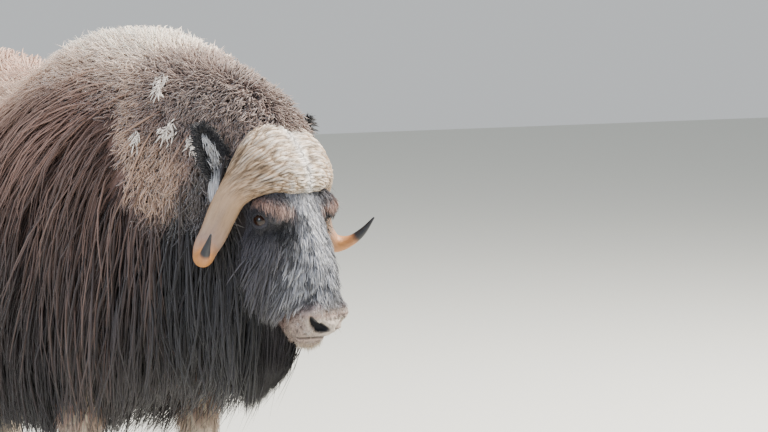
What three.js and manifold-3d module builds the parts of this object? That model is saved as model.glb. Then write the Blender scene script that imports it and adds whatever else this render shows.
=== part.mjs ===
// A life-size bull muskox, standing with its head low and turned a little to its left.
// Millimetres, +X towards the head, +Y to the animal's left, +Z up, hooves on the plane Z = 0.
import * as THREE from "three";
import { mergeVertices } from "three/addons/utils/BufferGeometryUtils.js";
import Module from "manifold-3d";

const wasm = await Module();
wasm.setup();

// Gap kept between neighbouring nodes, and the clearance that a cutter adds to get it.
const GAP = 0.4;

// The body's core: flesh and dense underwool as upright sections from rump to nape.
// x is the place along the back, side is how far the neck has bent to the left there.
const BODY_SECTIONS = [
  { x: -1082, top: 985, bottom: 840, half: 60, side: 0 },
  { x: -1060, top: 1075, bottom: 720, half: 150, side: 0 },
  { x: -1000, top: 1165, bottom: 600, half: 228, side: 0 },
  { x: -880, top: 1228, bottom: 520, half: 282, side: 0 },
  { x: -700, top: 1244, bottom: 480, half: 312, side: 0 },
  { x: -430, top: 1222, bottom: 455, half: 326, side: 0 },
  { x: -150, top: 1196, bottom: 450, half: 332, side: 0 },
  { x: 50, top: 1222, bottom: 452, half: 330, side: 0 },
  { x: 180, top: 1284, bottom: 458, half: 325, side: 0 },
  { x: 300, top: 1318, bottom: 470, half: 314, side: 2 },
  { x: 440, top: 1302, bottom: 500, half: 286, side: 28 },
  { x: 560, top: 1264, bottom: 556, half: 246, side: 66 },
  { x: 640, top: 1236, bottom: 590, half: 212, side: 98 },
  { x: 700, top: 1204, bottom: 612, half: 180, side: 126 },
  { x: 745, top: 1164, bottom: 640, half: 146, side: 146 },
  { x: 790, top: 1100, bottom: 690, half: 98, side: 166 },
  { x: 822, top: 1004, bottom: 770, half: 50, side: 180 },
];
const BODY_WIDEST = 0.42; // height of the widest line, as a share of the section
const BODY_SQUARENESS = 2.3;
const BODY_SIDES = 22;
const BODY_RINGS = 19;

// The head's own frame: forward, left and up from the lower end of the parting of the
// horn boss, with the head turned to the left.
const HEAD_ORIGIN = new THREE.Vector3(860, 200, 972);
const HEAD_YAW = THREE.MathUtils.degToRad(20);
// The face leans forward from the vertical by this much from brow to muzzle.
const FACE_LEAN = THREE.MathUtils.degToRad(14);
// Head sections: down is the way along the line of the face, set is how far the section's
// front stands ahead of that line; lateral and deep are half sizes.
const HEAD_SECTIONS = [
  { down: -172, set: -60, lateral: 42, deep: 38 },
  { down: -150, set: -30, lateral: 86, deep: 76 },
  { down: -90, set: -22, lateral: 106, deep: 104 },
  { down: -10, set: -12, lateral: 106, deep: 122 },
  { down: 60, set: -6, lateral: 98, deep: 124 },
  { down: 140, set: -4, lateral: 82, deep: 106 },
  { down: 220, set: -2, lateral: 67, deep: 82 },
  { down: 278, set: 0, lateral: 60, deep: 68 },
  { down: 322, set: -2, lateral: 54, deep: 58 },
  { down: 350, set: -10, lateral: 42, deep: 44 },
  { down: 366, set: -26, lateral: 22, deep: 24 },
];
const HEAD_SQUARENESS = 2.3;
const HEAD_SIDES = 16;

// Eyes, as seen from the head's origin: forward, out to the side, up.
const EYE = { f: -64, out: 103, z: -58, radius: 19 };
const EYE_GAZE = { f: 0.38, out: 0.92, z: 0.02 };
const LID_THICKNESS = 5;
const EYE_OPENING = { long: 19, high: 12.5 };

// Horn: centre line from the boss at the parting to the hooked tip, with the half sizes
// across the broad way of the horn and through its thickness.
const HORN_LINE = [
  { f: -62, out: 0, z: 87, broad: 96, thick: 36 },
  { f: -62, out: 50, z: 85, broad: 96, thick: 42 },
  { f: -74, out: 94, z: 68, broad: 78, thick: 42 },
  { f: -98, out: 128, z: 34, broad: 55, thick: 38 },
  { f: -118, out: 153, z: -4, broad: 42, thick: 34 },
  { f: -130, out: 172, z: -46, broad: 38, thick: 34 },
  { f: -138, out: 192, z: -90, broad: 35, thick: 32 },
  { f: -142, out: 213, z: -120, broad: 32, thick: 30 },
  { f: -128, out: 240, z: -143, broad: 25, thick: 24 },
  { f: -101, out: 266, z: -139, broad: 15, thick: 14.5 },
  { f: -74, out: 286, z: -115, broad: 9.5, thick: 9.5 },
  { f: -47, out: 300, z: -78, broad: 2, thick: 2 },
];
const BOSS_PARTING = 8; // half the gap between the two halves of the boss
const HORN_RINGS = 13;
const HORN_SIDES = 10;
const BOSS_BROAD_WAY = new THREE.Vector3(0.6, 0, -0.8); // from the nape towards the brow

// Ear: a cupped leaf behind the horn.
const EAR_ROOT = { f: -172, out: 122, z: 40 };
const EAR_TIP = { f: -178, out: 202, z: 172 };
const EAR_HALF_WIDTH = 35;
const EAR_THICKNESS = 10;
const EAR_CUP = 18;

// Nose and mouth on the head.
const NOSTRIL = { f: 70, out: 34, z: -288 };
const MOUTH_HEIGHT = -334;
const MOUTH_GAPE = 5;

// The cut between head and neck: it passes this far behind the origin and slopes forward
// as it goes down.
const NAPE_CUT = { f: -205, slope: -0.35 };

// The cuts that part the trunk into nodes.
const RUMP_CUT = -925;
const NECK_CUT = 470;
const FLANK_CUT = 204;

// Legs: sections from the pastern up into the body.
const LEG_SIDES = 10;
const FORE_LEG = {
  x: 335,
  y: 166,
  sections: [
    { z: 74, lean: 0, along: 49, across: 47 },
    { z: 112, lean: -6, along: 43, across: 41 },
    { z: 200, lean: -8, along: 42, across: 40 },
    { z: 300, lean: -2, along: 54, across: 50 },
    { z: 360, lean: 0, along: 54, across: 50 },
    { z: 440, lean: -6, along: 66, across: 54 },
    { z: 560, lean: -20, along: 82, across: 58 },
  ],
};
const HIND_LEG = {
  x: -800,
  y: 158,
  sections: [
    { z: 74, lean: 0, along: 47, across: 45 },
    { z: 112, lean: -8, along: 42, across: 40 },
    { z: 210, lean: -30, along: 43, across: 40 },
    { z: 310, lean: -52, along: 56, across: 46 },
    { z: 380, lean: -46, along: 62, across: 50 },
    { z: 470, lean: -10, along: 82, across: 58 },
    { z: 590, lean: 40, along: 110, across: 64 },
  ],
};
const HOOF_HEIGHT = 74;
const FORE_HOOF = { long: 66, wide: 33, apart: 34 };
const HIND_HOOF = { long: 60, wide: 29, apart: 30 };
const DEWCLAW = { back: 46, apart: 22, z: 92, radius: 15 };
const CLAW_SIDES = 8;

// Coat: long locks in tiers on the sides, each tier hanging from one level of the core.
const ROOT_DEPTH = 34; // how far a root is sunk, and how far back from where it comes out
const ROOT_BACK = 24;
const SIDE_TIERS = [
  { level: 610, length: 330, from: -985, right: 620, left: 440, rise: 34 },
  { level: 830, length: 400, from: -950, right: 630, left: 480, rise: 46 },
  { level: 1060, length: 400, from: -905, right: 640, left: 620, rise: 50 },
];
const SIDE_LOCK = { width: 168, spacing: 178 };
// Rounded clumps of wool, set close: high ones on hump and neck, flat ones along the back.
const HUMP_ROWS = { angles: [-52, -26, 0, 26, 52], from: 96, to: 716, spacing: 118 };
const HUMP_CLUMP = { along: 90, across: 76, high: 45, sunk: 8 };
const BACK_ROWS = { angles: [-33, 0, 33], from: -950, to: 20, spacing: 164 };
const BACK_CLUMP = { along: 128, across: 96, high: 38, sunk: 8 };
// Locks that hang over the rump, fanned round the rear end.
const RUMP_TIERS = [
  { level: 1040, length: 360, spread: 58, count: 4 },
  { level: 860, length: 370, spread: 70, count: 5 },
  { level: 680, length: 320, spread: 60, count: 4 },
];
const RUMP_LOCK = { width: 146, rise: 26, from: -880 };
// The collar of mane locks behind the ears, and the locks on the chest.
const COLLAR = { x: 684, turns: [-108, -76, -44, 44, 72, 100], length: 300, width: 136, rise: 30 };
const THROAT = { x: 752, turns: [-132, -98, -64, 64, 98, 132], length: 240, width: 104, rise: 22 };
const CHEST = { xs: [520, 610], turns: [-48, -16, 16, 48], width: 110, hem: 390 };
// The beard hangs from the throat; its hem climbs towards the chin.
const BEARD = {
  root: { f: -118, z: -318 },
  back: { f: -214, z: -370 },
  front: { tipF: -12, tipZ: -396 },
  rear: { tipF: -176, tipZ: -528 },
  rows: 4,
  outs: [-56, 56],
  width: 112,
};
const TAIL_WIDTH = 70;
const CHEEK = { count: 3, length: 160, width: 66 };
const LOCK_THICKNESS = 0.2; // of its width
const SEED = 17;

// A seeded random number generator, so that each build gives the same coat.
function generator(seed) {
  let state = seed;
  return () => {
    state = (state + 0x6d2b79f5) | 0;
    let t = Math.imul(state ^ (state >>> 15), 1 | state);
    t = (t + Math.imul(t ^ (t >>> 7), 61 | t)) ^ t;
    return ((t ^ (t >>> 14)) >>> 0) / 4294967296;
  };
}
const random = generator(SEED);
const jitter = (amount) => (random() * 2 - 1) * amount;

// Smooth curve through the value that each section has for key, at place.
function along(sections, place, key, where) {
  const last = sections.length - 1;
  let i = 0;
  while (i < last - 1 && place > sections[i + 1][where]) i += 1;
  const slope = (k) => {
    const a = sections[Math.max(k - 1, 0)];
    const b = sections[Math.min(k + 1, last)];
    return (b[key] - a[key]) / (b[where] - a[where]);
  };
  const [p, q] = [sections[i], sections[i + 1]];
  const span = q[where] - p[where];
  const t = THREE.MathUtils.clamp((place - p[where]) / span, 0, 1);
  const [t2, t3] = [t * t, t * t * t];
  return (
    (2 * t3 - 3 * t2 + 1) * p[key] +
    (t3 - 2 * t2 + t) * span * slope(i) +
    (3 * t2 - 2 * t3) * q[key] +
    (t3 - t2) * span * slope(i + 1)
  );
}

// The body's section at x.
function bodySection(x) {
  const [top, bottom, half, side] = ["top", "bottom", "half", "side"].map((key) =>
    along(BODY_SECTIONS, x, key, "x"),
  );
  const widest = bottom + (top - bottom) * BODY_WIDEST;
  return { top, bottom, half, side, widest };
}

const power = (value, exponent) => Math.sign(value) * Math.abs(value) ** exponent;

// Distance from the body core's surface, outside positive, good enough to comb hair over.
function bodyDistance(p) {
  const first = BODY_SECTIONS[0].x;
  const last = BODY_SECTIONS[BODY_SECTIONS.length - 1].x;
  const x = THREE.MathUtils.clamp(p.x, first, last);
  const s = bodySection(x);
  const high = p.z > s.widest ? s.top - s.widest : s.widest - s.bottom;
  const [dy, dz] = [p.y - s.side, p.z - s.widest];
  const n = BODY_SQUARENESS;
  const r = (Math.abs(dy / s.half) ** n + Math.abs(dz / high) ** n) ** (1 / n);
  const flat = r < 1e-6 ? -s.half : Math.hypot(dy, dz) * (1 - 1 / r);
  return Math.hypot(Math.max(flat, 0), p.x - x) + Math.min(flat, 0);
}

// Middle of the head's section at a distance down the face, in the head's frame.
const FACE_DOWN = new THREE.Vector3(Math.sin(FACE_LEAN), 0, -Math.cos(FACE_LEAN));
const FACE_AHEAD = new THREE.Vector3(Math.cos(FACE_LEAN), 0, Math.sin(FACE_LEAN));
const headMiddle = (s) =>
  FACE_DOWN.clone().multiplyScalar(s.down).addScaledVector(FACE_AHEAD, s.set - s.deep);

// Distance from the head core, in the same way.
function headDistance(p) {
  const q = p.clone().applyMatrix4(HEAD_INVERSE);
  const down = THREE.MathUtils.clamp(q.dot(FACE_DOWN), HEAD_SECTIONS[0].down, 366);
  const keys = ["set", "lateral", "deep"];
  const [set, lateral, deep] = keys.map((key) => along(HEAD_SECTIONS, down, key, "down"));
  const ahead = q.dot(FACE_AHEAD) - (set - deep);
  const r = Math.hypot(q.y / lateral, ahead / deep);
  const flat = r < 1e-6 ? -lateral : Math.hypot(q.y, ahead) * (1 - 1 / r);
  return Math.hypot(Math.max(flat, 0), q.dot(FACE_DOWN) - down) + Math.min(flat, 0);
}

// Unit vector pointing straight out of a surface given by its distance.
function outwards(distance, p) {
  const step = 4;
  const slope = ["x", "y", "z"].map((axis) => {
    const [ahead, behind] = [p.clone(), p.clone()];
    ahead[axis] += step;
    behind[axis] -= step;
    return distance(ahead) - distance(behind);
  });
  return new THREE.Vector3(...slope).normalize();
}

// The point where a ray from inside the core leaves it.
function surfacePoint(distance, from, direction) {
  let [near, far] = [0, 900];
  for (let i = 0; i < 30; i += 1) {
    const middle = (near + far) / 2;
    const p = from.clone().addScaledVector(direction, middle);
    if (distance(p) < 0) near = middle;
    else far = middle;
  }
  return from.clone().addScaledVector(direction, near);
}

// A closed solid from a list of rings of points, each end closed on its middle point.
function loft(rings) {
  const count = rings[0].length;
  const vertices = rings.flat();
  const faces = [];
  for (let r = 0; r + 1 < rings.length; r += 1)
    for (let i = 0; i < count; i += 1) {
      const [a, b] = [r * count + i, r * count + ((i + 1) % count)];
      faces.push([a, b, b + count], [a, b + count, a + count]);
    }
  const middle = (ring) => ring.reduce((sum, p) => sum.add(p), new THREE.Vector3()).divideScalar(count);
  const start = vertices.push(middle(rings[0])) - 1;
  const end = vertices.push(middle(rings[rings.length - 1])) - 1;
  const lastRing = (rings.length - 1) * count;
  for (let i = 0; i < count; i += 1) {
    const next = (i + 1) % count;
    faces.push([start, next, i], [end, lastRing + i, lastRing + next]);
  }
  return solid(vertices, faces);
}

// A manifold solid from vertices and faces, turned right side out if need be.
function solid(vertices, faces) {
  const make = (list) =>
    new wasm.Manifold(
      new wasm.Mesh({
        numProp: 3,
        vertProperties: new Float32Array(vertices.flatMap((p) => [p.x, p.y, p.z])),
        triVerts: new Uint32Array(list.flat()),
      }),
    );
  const made = make(faces);
  return made.volume() > 0 ? made : make(faces.map(([a, b, c]) => [a, c, b]));
}

// A manifold solid from a closed three.js geometry and a matrix.
function solidFrom(geometry, matrix) {
  const bare = geometry.clone().applyMatrix4(matrix);
  bare.deleteAttribute("normal");
  bare.deleteAttribute("uv");
  const merged = mergeVertices(bare, 1e-3);
  const at = merged.attributes.position;
  const vertex = (_, i) => new THREE.Vector3().fromBufferAttribute(at, i);
  const vertices = Array.from({ length: at.count }, vertex);
  const index = merged.index.array;
  const faces = [];
  for (let i = 0; i < index.length; i += 3) {
    const face = [index[i], index[i + 1], index[i + 2]];
    if (new Set(face).size === 3) faces.push(face);
  }
  return solid(vertices, faces);
}

// An ellipsoid on the head, given in the head's own directions.
function headEllipsoid(at, radii, { turn = 0, nod = 0, across = 10, down = 6 } = {}) {
  const shape = new THREE.SphereGeometry(1, across, down);
  const matrix = new THREE.Matrix4()
    .makeTranslation(at.x, at.y, at.z)
    .multiply(new THREE.Matrix4().makeRotationZ(turn))
    .multiply(new THREE.Matrix4().makeRotationY(nod))
    .scale(new THREE.Vector3(...radii));
  return solidFrom(shape, HEAD_MATRIX.clone().multiply(matrix));
}

// Head frame: forward, left, up from the head's origin.
const HEAD_MATRIX = new THREE.Matrix4().makeRotationZ(HEAD_YAW).setPosition(HEAD_ORIGIN);
const HEAD_INVERSE = HEAD_MATRIX.clone().invert();
const headLocal = (at, side) => new THREE.Vector3(at.f, side * at.out, at.z);
const headWorld = (at, side) => headLocal(at, side).applyMatrix4(HEAD_MATRIX);
const headWay = (f, left, up) => new THREE.Vector3(f, left, up).transformDirection(HEAD_MATRIX);

// A flat tapered lock along a path: a broad underside, with a ridge on the outward side.
const LOCK_TAPER = [0.7, 1, 0.92, 0.6];
function lock(path, outward, width) {
  const last = path.length - 1;
  const rings = [];
  for (let i = 0; i < last; i += 1) {
    // The sunk root keeps the direction of the first stretch outside.
    const ahead = path[Math.max(i, 1) + 1].clone().sub(path[Math.max(i - 1, 1)]).normalize();
    const side = new THREE.Vector3().crossVectors(ahead, outward[i]).normalize();
    const up = new THREE.Vector3().crossVectors(side, ahead).normalize();
    const share = LOCK_TAPER[Math.min(i, LOCK_TAPER.length - 1)];
    const half = (width / 2) * share;
    const thick = width * LOCK_THICKNESS * (0.55 + 0.45 * share);
    rings.push([
      path[i].clone().addScaledVector(side, half),
      path[i].clone().addScaledVector(side, -half),
      path[i].clone().addScaledVector(up, thick),
    ]);
  }
  const vertices = rings.flat();
  const tip = vertices.push(path[last].clone()) - 1;
  const faces = [[0, 1, 2]];
  for (let r = 0; r + 1 < rings.length; r += 1)
    for (let i = 0; i < 3; i += 1) {
      const [a, b] = [r * 3 + i, r * 3 + ((i + 1) % 3)];
      faces.push([a, b + 3, b], [a, a + 3, b + 3]);
    }
  const lastRing = (rings.length - 1) * 3;
  for (let i = 0; i < 3; i += 1) faces.push([lastRing + i, tip, lastRing + ((i + 1) % 3)]);
  return solid(vertices, faces);
}

// A lock combed over a surface: it starts sunk in the core, follows the lie of the coat and
// stays at least rise above the core, so that it bends with the body and then hangs free.
function combedLock(distance, root, { lie, length, width, rise, steps = 3 }) {
  const normal = outwards(distance, root);
  const start = root.clone().addScaledVector(normal, -ROOT_DEPTH);
  const path = [start.addScaledVector(lie(root).projectOnPlane(normal).normalize(), -ROOT_BACK)];
  const outward = [normal];
  const p = root.clone();
  const bend = jitter(0.1);
  for (let i = 0; i <= steps; i += 1) {
    const n = outwards(distance, p);
    const gap = distance(p);
    const t = i / steps;
    const wanted = rise * (0.25 + 0.75 * t);
    if (gap < wanted) p.addScaledVector(n, wanted - gap);
    path.push(p.clone());
    outward.push(gap < rise * 2 ? n : outward[outward.length - 1]);
    const way = lie(p).clone();
    way.x += bend;
    const inward = way.dot(n);
    if (inward < 0 && gap < rise * 1.5) way.addScaledVector(n, -inward * 0.9);
    p.addScaledVector(way.normalize(), length / steps);
  }
  return lock(path, outward, width);
}

// The lie of the coat on the trunk: back along the crest, down and a little back elsewhere.
function trunkLie(p) {
  const s = bodySection(THREE.MathUtils.clamp(p.x, -1080, 820));
  const high = THREE.MathUtils.clamp((p.z - s.widest) / (s.top - s.widest), 0, 1);
  return new THREE.Vector3(-0.12 - 0.75 * high ** 3, 0, -1);
}
const hanging = () => new THREE.Vector3(-0.05, 0, -1);

// Locks on both sides, tier over tier, from the mane to the thigh.
function sideLocks() {
  const made = [];
  for (const side of [-1, 1])
    SIDE_TIERS.forEach((tier, row) => {
      const start = tier.from + (row % 2) * SIDE_LOCK.spacing * 0.5;
      for (let x = start; x <= (side < 0 ? tier.right : tier.left); x += SIDE_LOCK.spacing) {
        const place = x + jitter(14);
        const s = bodySection(place);
        const level = Math.min(Math.max(tier.level + jitter(24), s.bottom + 60), s.top - 60);
        const from = new THREE.Vector3(place, s.side, level);
        const root = surfacePoint(bodyDistance, from, new THREE.Vector3(0, side, 0));
        made.push(
          combedLock(bodyDistance, root, {
            lie: trunkLie,
            length: tier.length * (1 + jitter(0.1)),
            width: SIDE_LOCK.width * (1 + jitter(0.06)),
            rise: tier.rise,
          }),
        );
      }
    });
  return made;
}

// The point of the core under an angle from straight up.
function crestPoint(x, degrees) {
  const s = bodySection(x);
  const turn = THREE.MathUtils.degToRad(degrees);
  const from = new THREE.Vector3(x, s.side, s.widest);
  return surfacePoint(bodyDistance, from, new THREE.Vector3(0, Math.sin(turn), Math.cos(turn)));
}

// Rounded clumps of wool in rows along the crest.
function clumps(rows, clump) {
  const made = [];
  rows.angles.forEach((angle, row) => {
    const start = rows.from + (row % 2) * rows.spacing * 0.5;
    for (let x = start; x <= rows.to; x += rows.spacing) {
      const at = crestPoint(x + jitter(8), angle + jitter(4));
      const up = outwards(bodyDistance, at);
      const back = new THREE.Vector3(-1, 0, -0.25).projectOnPlane(up).normalize();
      const across = new THREE.Vector3().crossVectors(up, back);
      const grow = 1 + jitter(0.12);
      const matrix = new THREE.Matrix4()
        .makeBasis(back, across, up)
        .setPosition(at.addScaledVector(up, -clump.sunk))
        .scale(new THREE.Vector3(clump.along * grow, clump.across * grow, clump.high * grow));
      made.push(solidFrom(new THREE.SphereGeometry(1, 6, 4), matrix));
    }
  });
  return made;
}

// Locks that hang over the rump, fanned round the rear end.
function rumpLocks() {
  const made = [];
  RUMP_TIERS.forEach((tier, row) => {
    for (let i = 0; i < tier.count; i += 1) {
      const share = i / (tier.count - 1) - 0.5;
      const turn = THREE.MathUtils.degToRad(share * 2 * tier.spread + (row % 2 ? 4 : -2) + jitter(3));
      const from = new THREE.Vector3(RUMP_LOCK.from, 0, tier.level + jitter(20));
      const direction = new THREE.Vector3(-Math.cos(turn), Math.sin(turn), 0);
      made.push(
        combedLock(bodyDistance, surfacePoint(bodyDistance, from, direction), {
          lie: hanging,
          length: tier.length * (1 + jitter(0.1)),
          width: RUMP_LOCK.width * (1 + jitter(0.06)),
          rise: RUMP_LOCK.rise,
        }),
      );
    }
  });
  return made;
}

// The collar and the throat: mane locks all round the neck just behind the head.
function collarLocks(row) {
  return row.turns.map((turn) =>
    combedLock(bodyDistance, crestPoint(row.x + jitter(8), turn), {
      lie: (p) => trunkLie(p).setX(-0.16),
      length: row.length * (1 + jitter(0.08)),
      width: row.width,
      rise: row.rise,
    }),
  );
}

// Locks that hang from the chest between the forelegs and the throat.
function chestLocks() {
  const made = [];
  for (const x of CHEST.xs)
    for (const turn of CHEST.turns) {
      const root = crestPoint(x + jitter(10), 180 + turn);
      made.push(
        combedLock(bodyDistance, root, {
          lie: hanging,
          length: Math.max(110, root.z - CHEST.hem + jitter(24)),
          width: CHEST.width,
          rise: 16,
        }),
      );
    }
  return made;
}

// The beard: locks from the throat that swing forward under the jaw and hang to its hem.
function beardLocks() {
  const made = [];
  for (let row = 0; row < BEARD.rows; row += 1)
    for (const out of BEARD.outs) {
      const t = row / (BEARD.rows - 1);
      const mix = (a, b) => THREE.MathUtils.lerp(a, b, t);
      const wide = out * mix(0.55, 1);
      const root = { f: mix(BEARD.root.f, BEARD.back.f), z: mix(BEARD.root.z, BEARD.back.z) };
      const tip = { f: mix(BEARD.front.tipF, BEARD.rear.tipF), z: mix(BEARD.front.tipZ, BEARD.rear.tipZ) };
      const fall = 14 + Math.abs(out) * 0.4 + jitter(12);
      const path = [0, 0.33, 0.66, 1].map((u) =>
        headWorld({ f: THREE.MathUtils.lerp(root.f, tip.f, u ** 0.7), out: wide * (0.7 + 0.3 * u),
          z: THREE.MathUtils.lerp(root.z, tip.z - fall, u ** 1.3) }, 1),
      );
      const outward = path.map(() => headWay(0.5, Math.sign(out), 0));
      made.push(lock(path, outward, BEARD.width * (1 + jitter(0.08))));
    }
  return made;
}

// Locks on the cheeks, which belong to the head.
function cheekLocks() {
  const made = [];
  for (const side of [-1, 1])
    for (let i = 0; i < CHEEK.count; i += 1) {
      const from = headWorld({ f: -100 + i * 28, out: 0, z: -112 - i * 56 }, side);
      const root = surfacePoint(headDistance, from, headWay(-0.5 + i * 0.18, side, 0).normalize());
      made.push(
        combedLock(headDistance, root, {
          lie: () => headWay(-0.3, side * 0.1, -1),
          length: CHEEK.length * (1 + jitter(0.1)),
          width: CHEEK.width,
          rise: 16,
        }),
      );
    }
  return made;
}

// The body core, grown by an extra amount where it is used as a cutter.
function bodyCore() {
  const first = BODY_SECTIONS[0].x;
  const last = BODY_SECTIONS[BODY_SECTIONS.length - 1].x;
  const rings = [];
  for (let r = 0; r <= BODY_RINGS; r += 1) {
    // Sections stand closer together towards both rounded ends.
    const t = r / BODY_RINGS;
    const eased = t - Math.sin(2 * Math.PI * t) * 0.09;
    const x = THREE.MathUtils.lerp(first, last, eased);
    const s = bodySection(x);
    const ring = [];
    for (let i = 0; i < BODY_SIDES; i += 1) {
      const angle = (i / BODY_SIDES) * 2 * Math.PI;
      const [c, q] = [Math.cos(angle), Math.sin(angle)];
      const high = c > 0 ? s.top - s.widest : s.widest - s.bottom;
      const y = s.side + s.half * power(q, 2 / BODY_SQUARENESS);
      const z = s.widest + high * power(c, 2 / BODY_SQUARENESS);
      ring.push(new THREE.Vector3(x, y, z));
    }
    rings.push(ring);
  }
  return loft(rings);
}

// The head core: sections square to the leaning line of the face.
function headCore() {
  const rings = HEAD_SECTIONS.map((s) =>
    Array.from({ length: HEAD_SIDES }, (_, i) => {
      const angle = (i / HEAD_SIDES) * 2 * Math.PI;
      const deep = s.deep * power(Math.cos(angle), 2 / HEAD_SQUARENESS);
      const lateral = s.lateral * power(Math.sin(angle), 2 / HEAD_SQUARENESS);
      const at = headMiddle(s).addScaledVector(FACE_AHEAD, deep);
      return at.setY(lateral).applyMatrix4(HEAD_MATRIX);
    }),
  );
  return loft(rings);
}

// One horn with its half of the boss, grown by extra for use as a cutter.
function horn(side, extra = 0) {
  const line = HORN_LINE.map((s, i) => ({ ...s, at: i }));
  const value = (key, t) => along(line, t, key, "at");
  const point = (t) => new THREE.Vector3(value("f", t), side * value("out", t), value("z", t));
  const rings = [];
  const last = HORN_LINE.length - 1;
  for (let r = 0; r <= HORN_RINGS; r += 1) {
    const t = (last * r) / HORN_RINGS;
    const here = point(t);
    const ahead = point(Math.min(t + 0.2, last)).sub(point(Math.max(t - 0.2, 0))).normalize();
    const broadWay = BOSS_BROAD_WAY.clone().addScaledVector(ahead, -BOSS_BROAD_WAY.dot(ahead)).normalize();
    const past = THREE.MathUtils.smoothstep(t, 2, 4.5);
    const foreAft = new THREE.Vector3(1, 0, 0.25);
    foreAft.addScaledVector(ahead, -ahead.x - 0.25 * ahead.z).normalize();
    broadWay.lerp(foreAft, past).normalize();
    const thickWay = new THREE.Vector3().crossVectors(ahead, broadWay).normalize();
    const broad = value("broad", t) + extra;
    const thick = value("thick", t) + extra;
    const ring = [];
    for (let i = 0; i < HORN_SIDES; i += 1) {
      const angle = (i / HORN_SIDES) * 2 * Math.PI;
      const p = here
        .clone()
        .addScaledVector(broadWay, broad * Math.cos(angle))
        .addScaledVector(thickWay, thick * Math.sin(angle));
      ring.push(p.applyMatrix4(HEAD_MATRIX));
    }
    rings.push(ring);
  }
  const parting = headWorld({ f: 0, out: BOSS_PARTING - extra, z: 0 }, side);
  return keepSide(loft(rings), headWay(0, side, 0), parting, 0);
}

// One ear: a leaf that is cupped towards the front and thick enough to stand.
function ear(side, extra = 0) {
  const root = headLocal(EAR_ROOT, side);
  const tip = headLocal(EAR_TIP, side);
  const lengthWay = tip.clone().sub(root).normalize();
  root.addScaledVector(lengthWay, -2 * extra);
  tip.addScaledVector(lengthWay, 2 * extra);
  const cupWay = new THREE.Vector3(0.9, side * 0.45, -0.1);
  cupWay.addScaledVector(lengthWay, -cupWay.dot(lengthWay)).normalize();
  const acrossWay = new THREE.Vector3().crossVectors(lengthWay, cupWay).normalize();
  const rows = 6;
  const columns = 5;
  const rings = [];
  for (let r = 0; r <= rows; r += 1) {
    const t = r / rows;
    const width = EAR_HALF_WIDTH * Math.sin(Math.PI * (0.2 + 0.76 * t)) ** 0.8 + extra;
    const thick = EAR_THICKNESS * (1 - 0.55 * t);
    const cup = EAR_CUP * Math.sin(Math.PI * (0.12 + 0.8 * t));
    const middle = root.clone().addScaledVector(lengthWay, t * root.distanceTo(tip));
    const face = (sign) =>
      Array.from({ length: columns + 1 }, (_, c) => {
        const v = ((c / columns) * 2 - 1) * sign;
        const rim = Math.sqrt(Math.max(0.12, 1 - v * v));
        return middle
          .clone()
          .addScaledVector(acrossWay, width * v)
          .addScaledVector(cupWay, cup * v * v + sign * ((thick * rim) / 2 + extra));
      });
    rings.push([...face(1), ...face(-1)].map((p) => p.applyMatrix4(HEAD_MATRIX)));
  }
  return loft(rings);
}

const eyeCentre = (side) => headWorld(EYE, side);
function eyeball(side, extra = 0) {
  const shape = new THREE.SphereGeometry(EYE.radius + extra, 10, 7);
  return solidFrom(shape, new THREE.Matrix4().setPosition(eyeCentre(side)));
}

// The lids: a slightly larger ball round the eye with an almond opening cut in it.
function eyeOpening(side) {
  const gaze = headWay(EYE_GAZE.f, side * EYE_GAZE.out, EYE_GAZE.z).normalize();
  const turn = Math.atan2(gaze.y, gaze.x);
  const centre = eyeCentre(side).addScaledVector(gaze, EYE.radius);
  const matrix = new THREE.Matrix4()
    .makeTranslation(centre.x, centre.y, centre.z)
    .multiply(new THREE.Matrix4().makeRotationZ(turn))
    .scale(new THREE.Vector3(EYE.radius, EYE_OPENING.long, EYE_OPENING.high));
  return solidFrom(new THREE.SphereGeometry(1, 10, 6), matrix);
}

// A plane cut: keeps what lies on the side that the normal points to.
function keepSide(shape, normal, point, gap = GAP / 2) {
  const n = normal.clone().normalize();
  return shape.trimByPlane([n.x, n.y, n.z], n.dot(point) + gap);
}

// The largest closed surface of a solid, with sealed hollows filled.
function largest(shape) {
  const pieces = shape.decompose();
  return pieces.reduce((best, piece) => (piece.volume() > best.volume() ? piece : best));
}

const join = (list) => wasm.Manifold.union(list);

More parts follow.
